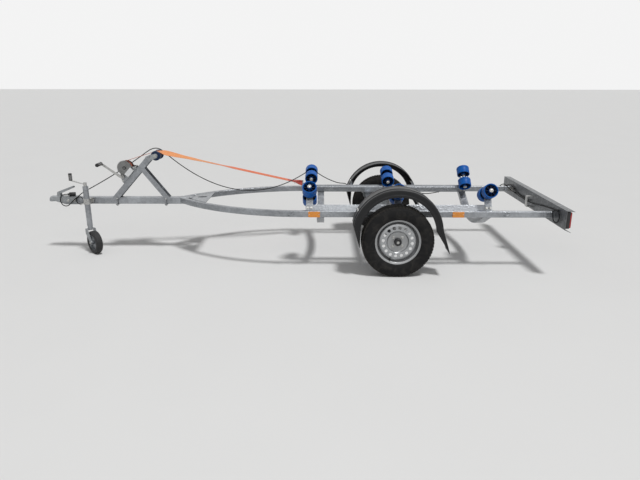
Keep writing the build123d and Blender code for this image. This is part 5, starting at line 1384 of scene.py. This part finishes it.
    def hub(self) -> None:
        """Hub barrel, bolts and the cap with its bright centre."""
        shape = Shape(f"hub_parts_{self.side.word}", CAST_ZINC, BOLT_ZINC, GRIP_BLACK)
        bore, inner, seat, back = 0.0152, -0.087, 0.018, 0.0299
        shape.lathe(self.at(), rounded([
            (bore, inner), (0.050, inner), (0.050, seat), (0.072, seat), (0.072, back), (bore, back),
        ], 0.002, 2, closed=True), 48, closed=True)
        shape.use(BOLT_ZINC)
        face = self.at(self.disc_face)
        for index in range(4):
            at = shift(face, *polar(self.bolt_circle, math.radians(45 + 90 * index)), 0)
            shape.lathe(at, [(0.0, -0.002), (0.0118, -0.002), (0.0125, 0.0), (0.0118, 0.0016), (0.0092, 0.003),
                             (0.0, 0.003)], 28)
            shape.screw(shift(at, 0, 0, 0.003), WHEEL_BOLT)
        shape.use(GRIP_BLACK)
        cap = rounded([(0.0, 0.0), (0.0293, 0.0), (0.0293, 0.0225), (0.0262, 0.0290), (0.0150, 0.0296),
                       (0.0145, 0.0272), (0.0, 0.0272)], 0.003, 3)
        shape.lathe(face, cap, 48)
        shape.use(BOLT_ZINC)
        shape.lathe(face, [(0.0, 0.0278), (0.0108, 0.0278), (0.0114, 0.0272), (0.0114, 0.0270)], 32)
        self.close(shape, Slot.PLASTIC, "hub", 35)

    def build(self) -> None:
        """Make the whole wheel."""
        self.tyre()
        self.rim()
        self.hub()


@dataclass(frozen=True)
class Mudguard:
    """Moulded mudguard with a raised rib and a flap at each end."""

    side: Side
    station: float = GUARD_STATION
    radius: float = 0.355
    centre_z: float = 0.355
    inner: float = 0.566
    outer: float = 0.748
    skin: float = 0.004
    skirt: float = 0.058
    rear_angle: float = 6.0
    front_angle: float = 168.0
    knee: float = 0.078
    lead: float = 10.0
    front_tip: Pair = (-0.304, 0.250)
    rear_tip: Pair = (0.409, 0.200)
    screw_places: Pair = (0.598, 0.655)
    stay_depth: float = 0.0092

    def section(self) -> list[Pair]:
        """Distance from the middle of the trailer, and depth under the arch's radius, around the section."""
        outer, inner, skin = self.outer, self.inner, self.skin
        rib, bead, lip = outer - 0.034, -0.0022, outer - 0.0015
        top = rounded([
            (inner, 0.0), (inner + 0.010, 0.0), (inner + 0.013, bead), (inner + 0.021, bead),
            (inner + 0.024, 0.0), (rib - 0.026, 0.0), (rib - 0.020, -0.006), (rib - 0.006, -0.006), (rib, 0.0),
            (outer, 0.0), (outer, 0.022), (lip, 0.024), (lip, 0.038), (outer, 0.040), (outer, self.skirt),
        ], 0.008, 4)
        under = rounded([(outer - skin, self.skirt), (outer - skin, skin + 0.001), (inner, skin)], 0.008, 4)
        return top + under

    def arch(self, depth: float, angle: float) -> Pair:
        """X and Z on the arch at a depth; the skirt deepens towards the rear flap."""
        if depth == self.skirt:
            depth += (self.knee - self.skirt) * max(0.0, self.rear_angle + self.lead - angle) / self.lead
        x, z = polar(self.radius - depth, math.radians(angle))
        return xa(self.station) + x, self.centre_z + z

    def row(self, angle: float) -> list[Vector]:
        """Section of the arch at an angle."""
        points = []
        for y, depth in self.section():
            x, z = self.arch(depth, angle)
            points.append(Vector((x, self.side.value * y, z)))
        return points

    def flap_rows(self, angle: float, tip: Pair) -> list[list[Vector]]:
        """Sections of a flap from the arch's end to its tip, each thinner than the last."""
        sign = -1 if tip[0] < 0 else 1
        rows = []
        for share in (step / 12 for step in range(1, 13)):
            points = []
            for y, depth in self.section():
                x, z = self.arch(depth, angle)
                cut = max(0.0, min(1.0, depth / self.skin))
                end = xa(tip[0]) - sign * self.skin * cut
                curl = 0.010 * share ** 2 * sign
                inwards = 0.0 if y > self.inner + 0.021 else 0.020 * min(1.0, share * 4)
                points.append(Vector((
                    x + (end - x) * share + curl * (1 - share), self.side.value * (y + inwards),
                    z + (tip[1] - z) * share,
                )))
            rows.append(points)
        return rows

    def build(self) -> None:
        """Make the guard and its screws."""
        shape = Shape(f"mudguard_shell_{self.side.word}", GUARD_BLACK, BOLT_ZINC)
        count = 72
        turn = (self.front_angle - self.rear_angle) / count
        rows = self.flap_rows(self.rear_angle, self.rear_tip)[::-1]
        rows += [self.row(self.rear_angle + turn * i) for i in range(count + 1)]
        rows += self.flap_rows(self.front_angle, self.front_tip)
        shape.skin(rows)
        shape.use(BOLT_ZINC)
        for angle in STAY_ANGLES:
            c, s = polar(1.0, math.radians(angle))
            for y in self.screw_places:
                faces = []
                for depth, way in ((0.0, 1), (self.stay_depth, -1)):
                    x, z = self.arch(depth, angle)
                    faces.append(place((x, self.side.value * y, z), (way * c, 0, way * s), (0, 1, 0)))
                at, under = faces
                shape.lathe(at, [(0.0, 0.0), (0.0115, 0.0), (0.0112, 0.0014), (0.0, 0.0018)], 24)
                shape.dome(shift(at, 0, 0, 0.0014), 0.0075, 0.0042)
                shape.screw(under, GUARD_NUT)
        shape.object("chassis", Slot.PLASTIC, (f"mudguard_{self.side.word}",), 40)


# Strap


@dataclass(frozen=True)
class WinchStrap:
    """Orange webbing: the turns on the drum, and the run over the bow roller to its hook."""

    width: float = 0.050
    thickness: float = 0.0026
    room: float = 0.003
    wound: float = 0.050
    core: float = 0.0172
    roller_waist: float = 0.033
    gap: float = 0.0003
    hook: Point = (-0.790, 0.395, 0.548)
    red_end: float = 0.150
    sewn: float = 0.090
    sewn_extra: float = 0.0022
    turn_steps: int = 40
    twists: tuple[Pair, ...] = (
        (0.0, 0.0), (0.05, 46.0), (0.20, 16.0), (0.31, 2.0),
        (0.42, -2.0), (0.52, 9.0), (0.94, 9.0), (1.0, 66.0),
    )

    def outline(self) -> list[Pair]:
        """Section of the webbing: across in metres, and up in shares of its thickness."""
        half = self.width / 2
        edge = [(-half, -0.3), (-half + 0.0012, -0.5), (-half + 0.004, -0.42), (-half / 3, -0.42)]
        under = edge + [(-x, h) for x, h in reversed(edge)]
        return under + [(-x, -h) for x, h in under]

    def ribbon(
        self, name: str, finish: Finish, stations: Sequence[tuple[Vector, Vector, Vector]],
        sewn_from: float = math.inf,
    ) -> Shape:
        """Strap through stations.

        Args:
            name: the piece's name.
            finish: its finish.
            stations: for each its middle, its direction across and its direction out of the face.
            sewn_from: distance along from which a second layer is sewn on.

        Returns:
            The shape, with UVs in metres.
        """
        shape = Shape(name, finish)
        layer = shape.mesh.loops.layers.uv.new("weave")
        rows, along, before = [], 0.0, stations[0][0]
        for middle, across, out in stations:
            along += (middle - before).length
            before = middle
            thick = self.thickness + (self.sewn_extra if along > sewn_from else 0.0)
            rows.append([
                (shape.mesh.verts.new(middle + across * x + out * (h * thick)), (along, x + self.width / 2))
                for x, h in self.outline()
            ])
        for low, high in zip(rows, rows[1:]):
            for i in range(len(low)):
                j = (i + 1) % len(low)
                corners = (low[i], low[j], high[j], high[i])
                made = shape.mesh.faces.new([vert for vert, _ in corners])
                for loop, (_, spot) in zip(made.loops, corners):
                    loop[layer].uv = spot
        for row in (rows[0][::-1], rows[-1]):
            shape.face([vert for vert, _ in row])
        return shape

    def turns(self) -> None:
        """Spiral of webbing on the drum."""
        chance = random.Random(7)
        stations, drift, half = [], 0.0, self.thickness / 2
        for index in range(int((self.wound - self.core) / self.room * self.turn_steps) + 1):
            radius = min(self.core + self.room * index / self.turn_steps + half, self.wound - half)
            drift = 0.92 * drift + 0.00022 * (chance.random() - 0.5)
            spot, out = self.around(DRUM_CENTRE, radius, math.tau * index / self.turn_steps)
            stations.append((spot + Vector((0, drift, 0)), ACROSS, out))
        self.ribbon("strap_turns", STRAP_ORANGE, stations).object("drum", Slot.STRAP, ("strap_wound",), 50)

    def around(self, centre: Vector, radius: float, angle: float) -> tuple[Vector, Vector]:
        """Point at an angle about a roller, and the direction out of it."""
        out = Vector((math.cos(angle), 0, math.sin(angle)))
        return centre + out * radius, out

    def twist(self, share: float) -> float:
        """Angle in radians by which the run has turned at a share of its length."""
        for (start, low), (end, high) in zip(self.twists, self.twists[1:]):
            if share <= end:
                part = (share - start) / (end - start)
                return math.radians(low + (high - low) * part * part * (3 - 2 * part))
        return math.radians(self.twists[-1][1])

    def middle(self, radius: float) -> float:
        """Radius of the strap's middle where it lies on a roller."""
        return radius + self.gap + self.room / 2

    def tangents(self) -> Pair:
        """Angle of the straight rise, and the angle where the strap leaves the bow roller."""
        first, second = self.middle(self.wound), self.middle(self.roller_waist)
        span = BOW_PIVOT - DRUM_CENTRE
        normal = math.atan2(span.z, span.x) + math.acos((first - second) / span.length)
        reach = Vector((xa(self.hook[0]), 0, self.hook[2])) - BOW_PIVOT
        return normal, math.atan2(reach.z, reach.x) + math.acos(second / reach.length)

    def run(self) -> None:
        """Strap from the drum, over the bow roller and out to the hook, twisting as it goes."""
        normal, away = self.tangents()
        second = self.middle(self.roller_waist)
        leave, out = self.around(DRUM_CENTRE, self.middle(self.wound), normal)
        meet, _ = self.around(BOW_PIVOT, second, normal)
        stations = [(leave.lerp(meet, i / 12), ACROSS, out) for i in range(13)]
        for index in range(1, 13):
            point, out = self.around(BOW_PIVOT, second, normal + (away - normal) * index / 12)
            stations.append((point, ACROSS, out))
        start = stations[-1][0]
        end = Vector((xa(self.hook[0]), self.hook[1], self.hook[2]))
        run = end - start
        z = run.normalized()
        x = (ACROSS - z * ACROSS.dot(z)).normalized()
        y = z.cross(x)
        if y.z < 0:
            y = -y
        for share in (index / 90 for index in range(1, 91)):
            c, s = polar(1.0, self.twist(share))
            stations.append((start.lerp(end, share), x * c + z.cross(x) * s, y * c + z.cross(y) * s))
        length = sum((b[0] - a[0]).length for a, b in zip(stations, stations[1:]))
        # painted shade ends and painted highlight starts where the run leaves the bow roller
        finish = Webbing(
            "webbing_run", STRAP_ORANGE.colour, STRAP_ORANGE.roughness,
            end_from=length - self.red_end, lit_from=length - run.length,
        )
        shape = self.ribbon("strap_webbing", finish, stations, length - self.sewn)
        shape.object("chassis", Slot.STRAP, ("strap_run",), 50)
        self.stitches(end, -z, stations[-1][1])

    def stitches(self, end: Vector, back: Vector, side: Vector) -> None:
        """Sewn box and cross that close the strap's end.

        Args:
            end: middle of the strap's end.
            back: direction along the strap, away from its end.
            side: direction across it.
        """
        shape = Shape("strap_stitching", STITCH_RED)
        face = back.cross(side).normalized()
        pitch, height = 0.005, 0.0023
        corners = [(0.012, -0.019), (0.078, -0.019), (0.078, 0.019), (0.012, 0.019)]
        lines = [*zip(corners, corners[1:] + corners[:1]), (corners[0], corners[2]), (corners[1], corners[3])]
        for sign in (-1, 1):
            for line in lines:
                first, last = (end + back * u + side * v for u, v in line)
                count = round((last - first).length / pitch)
                for index in range(count):
                    a, b = (
                        first.lerp(last, (index + share) / count) + face * (sign * height)
                        for share in (0.12, 0.88)
                    )
                    crown = a.lerp(b, 0.5) + face * (sign * 0.0004)
                    shape.tube([a, crown, b], [0.0003, 0.0006, 0.0003], 5)
        shape.object("chassis", Slot.STRAP)

    def build(self) -> None:
        """Make the wound turns and the run."""
        self.turns()
        self.run()


# Trim


@dataclass(frozen=True)
class Grip:
    """Loose hand sleeve on the pin of a crank."""

    name: str
    body: str
    foot: Point
    along: Point
    length: float
    radius: float = 0.0152
    rings: int = 9

    def build(self) -> None:
        """Sleeve with a collar, shallow rings and a domed end."""
        shape = Shape(self.name, GRIP_BLACK)
        r, top = self.radius, self.length
        low, pitch = r - 0.0009, (top - 0.018) / self.rings
        profile = [(0.0, 0.0), (r + 0.0007, 0.0), (r + 0.0007, 0.004), (r, 0.005)]
        for index in range(self.rings):
            z = 0.008 + pitch * index
            profile += [(r, z), (low, z + pitch * 0.12), (low, z + pitch * 0.28), (r, z + pitch * 0.4)]
        profile += [(r, top - 0.004), (r - 0.0012, top - 0.001), (r - 0.004, top), (0.0, top)]
        shape.lathe(place(self.foot, self.along), profile, 36)
        shape.object(self.body, Slot.PLASTIC)


GRIPS = (
    Grip("winch_grip", "crank", (xa(-2.5238), -0.085, 0.8043), (0, -1, 0), 0.0954),
    Grip("jockey_grip", "jockey_handle", (xa(-2.807), -0.084, 0.657), (0, 0, 1), 0.0625),
)


@dataclass(frozen=True)
class RearLamps:
    """Windows of both rear lamps: red, amber over clear, and red with a raised triangle."""

    station: float = 1.308
    middle_y: float = 0.6415
    middle_z: float = 0.476
    width: float = 0.215
    height: float = 0.122
    outer_width: float = 0.058
    middle_width: float = 0.044
    clear_height: float = 0.042
    seam: float = 0.003
    depth: float = 0.0135
    triangle: float = 0.038
    screw_radius: float = 0.0035
    screw_inset: float = 0.009

    def lamp(self, shape: Shape, side: Side) -> None:
        """Add the windows of one lamp; local X runs inwards.

        Args:
            shape: the piece that takes them.
            side: the lamp's side.
        """
        sign = side.value
        at = place((xa(self.station), sign * self.middle_y, self.middle_z), (1, 0, 0), (0, -sign, 0))

        def window(finish: Finish, left: float, width: float, low: float, height: float) -> None:
            """Add one bevelled window by its left edge and its lower edge."""
            middle = shift(at, left + width / 2, -sign * (low + height / 2), 0)
            shape.use(finish).block(middle, (width, height, self.depth), 0.002)

        low, left = -self.height / 2, -self.width / 2
        window(LENS_RED, left, self.outer_width, low, self.height)
        left += self.outer_width + self.seam
        window(LENS_CLEAR, left, self.middle_width, low, self.clear_height)
        rise = self.clear_height + self.seam
        window(LENS_AMBER, left, self.middle_width, low + rise, self.height - rise)
        left += self.middle_width + self.seam
        width = self.width / 2 - left
        window(LENS_RED, left, width, low, self.height)
        centre = shift(at, left + width / 2, 0, self.depth - 0.0004)
        corners = [polar(self.triangle, math.pi / 2 * -sign + math.tau * index / 3) for index in range(3)]
        shape.prism(centre, rounded(corners, 0.005, 3, closed=True), 0.0026, 0.0006)
        shape.use(BOLT_ZINC)
        for x in (-self.width / 2 + self.screw_inset, left + width - self.screw_inset):
            for y in (-1, 1):
                spot = shift(at, x, y * (self.height / 2 - self.screw_inset), self.depth - 0.0002)
                shape.dome(spot, self.screw_radius, 0.0018)

    def build(self) -> None:
        """Make both lamps' windows as one piece."""
        shape = Shape("rear_lamp_windows", LENS_RED, LENS_AMBER, LENS_CLEAR, BOLT_ZINC)
        for side in Side:
            self.lamp(shape, side)
        shape.object("chassis", Slot.LENS, ("lamp_lenses",), 30)


@dataclass(frozen=True)
class FrameFasteners:
    """Bolts, nuts and screws of the frame; the tables give places and directions on the right side."""

    bolt_along: float = 0.028
    nut_along: float = -0.020
    post_pitch: float = 0.015
    rise: float = 0.030
    bolts: tuple[tuple[Point, Way, Bolt], ...] = (
        *(
            ((GUARD_STATION + 0.3485 * math.cos(math.radians(angle)), 0.550, z), Way.OUT, STAY_BOLT)
            for angle in STAY_ANGLES for z in (0.462, 0.483)
        ),
        ((-0.193, 0.525, 0.435), Way.DOWN, SEAT_NUT),
        ((-0.107, 0.525, 0.435), Way.DOWN, SEAT_NUT),
        ((-0.150, 0.570, 0.405), Way.OUT, ARM_BOLT),
        ((-2.434, 0.0394, 0.481), Way.UP, CLAMP_NUT),
        ((-2.434, 0.0394, 0.429), Way.DOWN, CLAMP_NUT),
        ((-1.996, 0.0394, 0.481), Way.UP, CLAMP_NUT),
        ((-1.996, 0.0394, 0.429), Way.DOWN, CLAMP_NUT),
        ((1.271, 0.483, 0.470), Way.FRONT, ANGLE_NUT),
        ((1.255, 0.501, 0.470), Way.IN, ANGLE_BOLT),
    )
    domes: tuple[tuple[Point, Way, Pair], ...] = (
        ((1.278, 0.483, 0.470), Way.REAR, (0.009, 0.004)),
        *(
            ((station + step, 0.553, 0.470), Way.OUT, (0.0035, 0.0016))
            for station in (-0.661, 0.500) for step in (-0.039, 0.039)
        ),
    )
    sleeve_stations: Pair = (-2.875, -2.823)
    sleeve_y: float = 0.034
    sleeve_z: float = 0.465
    jockey_station: float = -2.685
    jockey_y: float = -0.084
    jockey_turn: float = math.radians(-42)
    jockey_axle: Point = (0.058, 0.0382, 0.103)
    clamp_bolt: Point = (0.033, 0.038, 0.470)

    def bearers(self, shape: Shape, side: int) -> None:
        """Two bolts through each roller post and its bearer."""
        slope = CHASSIS.arm_slope
        for group in groups_on(side):
            for step in (-1, 1):
                x = xa(group.station) + step * self.post_pitch
                for along, way, bolt in ((self.bolt_along, 1, POST_BOLT), (self.nut_along, -1, POST_NUT)):
                    out = (0, way * side * math.cos(slope), way * math.sin(slope))
                    shape.screw(place((x, *CHASSIS.arm_point(side, along, self.rise)), out), bolt)

    def build(self) -> None:
        """Make the fasteners of the frame and of the jockey wheel."""
        shape = Shape("frame_fasteners", BOLT_ZINC)
        for side, sleeve in ((-1, SLEEVE_BOLT), (1, SLEEVE_NUT)):
            self.bearers(shape, side)
            for spot, way, bolt in self.bolts:
                shape.screw(way.on(side, spot), bolt)
            for station in self.sleeve_stations:
                shape.screw(Way.OUT.on(side, (station, self.sleeve_y, self.sleeve_z)), sleeve)
            for spot, way, size in self.domes:
                shape.dome(way.on(side, spot), *size)
        reach, y, z = self.clamp_bolt
        for step in (-reach, reach):
            shape.screw(Way.OUT.on(-1, (self.jockey_station + step, y, z)), JOCKEY_BOLT)
        shape.object("chassis", Slot.ZINC)
        nuts = Shape("jockey_axle_nuts", BOLT_ZINC)
        turn = Matrix.Rotation(self.jockey_turn, 4, "Z")
        fork = Matrix.Translation((xa(self.jockey_station), self.jockey_y, 0)) @ turn
        trail, y, z = self.jockey_axle
        for side in (-1, 1):
            nuts.screw(fork @ place((trail, side * y, z), (0, side, 0)), FORK_NUT)
        nuts.object("jockey_swivel", Slot.ZINC)


@dataclass(frozen=True)
class Welds:
    """Weld beads of the frame."""

    drawbar_half: float = 0.030
    drawbar_low: float = 0.447
    mitre: Pair = (-1.871, -1.818)
    gusset: Pair = (-1.600, -1.750)
    crossmembers: Pair = (-0.610, 0.765)
    eyes: Pair = (-0.845, 0.890)
    eye_lean: Point = (0.906, 0, 0.4226)
    eye_height: float = 0.470
    eye_half: float = 0.022
    eye_rod: float = 0.0075
    eye_bead: float = 0.0018
    post_bead: float = 0.0024
    post_half: float = 0.020
    spread: float = 0.031

    def build(self) -> None:
        """Lay the beads."""
        shape = Shape("weld_beads", WELD_ZINC)
        half, (front, rear) = self.drawbar_half, self.mitre
        ring = circle(self.eye_rod, 12)
        for side in (-1, 1):
            y, top = side * half, FRAME_TOP - 0.0008
            shape.weld([(xa(front), y, top), (xa(rear), y, top)])
            shape.weld([(xa(front), y, self.drawbar_low), (xa(front), y, FRAME_TOP - 0.002)])
            line = []
            for step in range(13):
                station = self.gusset[0] + (self.gusset[1] - self.gusset[0]) * step / 12
                line.append((xa(station), CHASSIS.rail_y(side, station, -1), FRAME_TOP))
            shape.weld(line)
            y = side * RAIL_INNER
            for station in self.crossmembers:
                for x in (xa(station) - self.spread, xa(station) + self.spread):
                    shape.weld([(x, y, RAIL_BOTTOM + 0.003), (x, y, FRAME_TOP - 0.004)])
            ends = [CHASSIS.arm_point(side, along, 0.0) for along in (-self.post_half, self.post_half)]
            for group in groups_on(side):
                for step in (-1, 1):
                    shape.weld([(xa(group.station) + step * self.spread, *end) for end in ends], self.post_bead)
            for station in self.eyes:
                foot = Vector((xa(station), CHASSIS.rail_y(side, station, 1), self.eye_height))
                for step in (-self.eye_half, self.eye_half):
                    spot = foot + Vector(self.eye_lean) * step
                    shape.weld([spot + Vector((x, 0, z)) for x, z in ring + ring[:1]], self.eye_bead)
        shape.object("chassis", Slot.GALVANISED)


@dataclass(frozen=True)
class WinchTrim:
    """Plain white plate and tie rods of the winch, and the nuts of its shafts and of the bow roller's pin."""

    plate_span: Pair = (0.226, 0.308)
    plate_rise: Pair = (0.028, 0.069)
    plate_y: float = -0.058
    plate_thickness: float = 0.002
    spacer_feet: tuple[Pair, ...] = ((0.232, 0.034), (0.302, 0.034))
    rods: tuple[Pair, ...] = ((0.165, 0.045), (0.325, 0.045))
    rod_radius: float = 0.0045
    side_y: float = 0.0424
    gear_y: float = 0.0554
    pin_y: float = 0.071

    def plate(self) -> None:
        """Plain plate on two spacers, clear of the gear and the pinion."""
        shape = Shape("winch_plate", PLATE_WHITE, BOLT_ZINC)
        (start, end), (low, high) = self.plate_span, self.plate_rise
        lean = CHASSIS.post_lean
        along = (math.cos(lean), 0, math.sin(lean))
        middle = CHASSIS.leg_point((start + end) / 2, (low + high) / 2, self.plate_y)
        shape.block(place(middle, (0, -1, 0), along), (end - start, high - low, self.plate_thickness), 0.0006)
        shape.use(BOLT_ZINC)
        for foot in self.spacer_feet:
            at = place(CHASSIS.leg_point(*foot, -self.side_y), (0, -1, 0))
            reach = -self.plate_y - self.side_y
            shape.pin(at, self.rod_radius, reach, 16)
            shape.dome(shift(at, 0, 0, reach + self.plate_thickness), 0.0042, 0.0022)
        shape.object("chassis", Slot.PLASTIC)

    def build(self) -> None:
        """Make the plate, the rods and the nuts."""
        self.plate()
        shape = Shape("winch_rods", BOLT_ZINC)
        for foot in self.rods:
            ends = [CHASSIS.leg_point(*foot, side * self.side_y) for side in (-1, 1)]
            shape.tube(ends, self.rod_radius, 16)
            for side, end in zip((-1, 1), ends):
                shape.screw(place(end, (0, side, 0)), ROD_BOLT)
        for side in (-1, 1):
            pin = BOW_PIVOT + ACROSS * (side * self.pin_y)
            shape.screw(place(pin, (0, side, 0)), BOW_NUT)
        shape.object("chassis", Slot.ZINC)
        shafts = (("crank_shaft_nut", "crank", CRANK_CENTRE), ("drum_shaft_nut", "drum", DRUM_CENTRE))
        for name, body, centre in shafts:
            nut = Shape(name, BOLT_ZINC, GRIP_BLACK)
            nut.screw(place(centre + ACROSS * self.side_y, (0, 1, 0)), SHAFT_NUT)
            if body == "drum":
                hub = place(centre - ACROSS * self.gear_y, (0, -1, 0))
                # thin black disc round the drum's shaft end: painted shade of the hole in the gear
                nut.use(GRIP_BLACK).pin(hub, 0.0150, 0.0010, 32)
                nut.use(BOLT_ZINC).dome(shift(hub, 0, 0, 0.0009), 0.0072, 0.0036)
            nut.object(body, Slot.ZINC)


@dataclass(frozen=True)
class StrainReliefs:
    """Tapered rubber grommets where the cables go through the board."""

    places: tuple[Point, ...] = ((1.275, -0.608, 0.520), (1.275, 0.642, 0.470))
    length: float = 0.020

    def build(self) -> None:
        """Make the grommets."""
        shape = Shape("cable_grommets", GRIP_BLACK)
        for station, y, z in self.places:
            profile = [(0.0043, 0.0), (0.0105, 0.0), (0.0105, 0.003)]
            for index in range(4):
                base, radius = 0.004 + 0.0038 * index, 0.0090 - 0.0009 * index
                profile += [(radius, base), (radius, base + 0.0022), (radius - 0.0013, base + 0.0026)]
            profile += [(0.0052, self.length), (0.0043, self.length)]
            shape.lathe(place((xa(station), y, z), (-1, 0, 0)), profile, 24, closed=True)
        shape.object("chassis", Slot.RUBBER)


def dress_solids() -> None:
    """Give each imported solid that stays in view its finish."""
    for finish, nodes in SOLID_FINISHES:
        for name in nodes:
            give(name, finish)
    for group in ROLLER_GROUPS:
        give(f"cradle_{group.name}", PRESSED_ZINC)
    for name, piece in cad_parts.items():
        if not piece.hide_render and not piece.get("dressed"):
            log.warning("%s keeps its packed finish", name)


def give(node: str, finish: Finish) -> None:
    """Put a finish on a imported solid."""
    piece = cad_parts[node]
    piece["dressed"] = True
    if not piece.material_slots:
        piece.data.materials.append(finish.material())
    for slot in piece.material_slots:
        slot.material = finish.material()


def main() -> None:
    """Build the stage, the cables, then each assembly in turn."""
    Studio().build()
    Cables().build()
    WinchStrap().build()
    for side in Side:
        Wheel(side).build()
        Mudguard(side).build()
    trim = (RearLamps(), FrameFasteners(), Welds(), WinchTrim(), StrainReliefs())
    for assembly in (*ROLLER_GROUPS, *GRIPS, *trim):
        assembly.build()
    dress_solids()


if __name__ == "__main__":
    logging.basicConfig(level=logging.INFO, format="%(message)s")
    main()
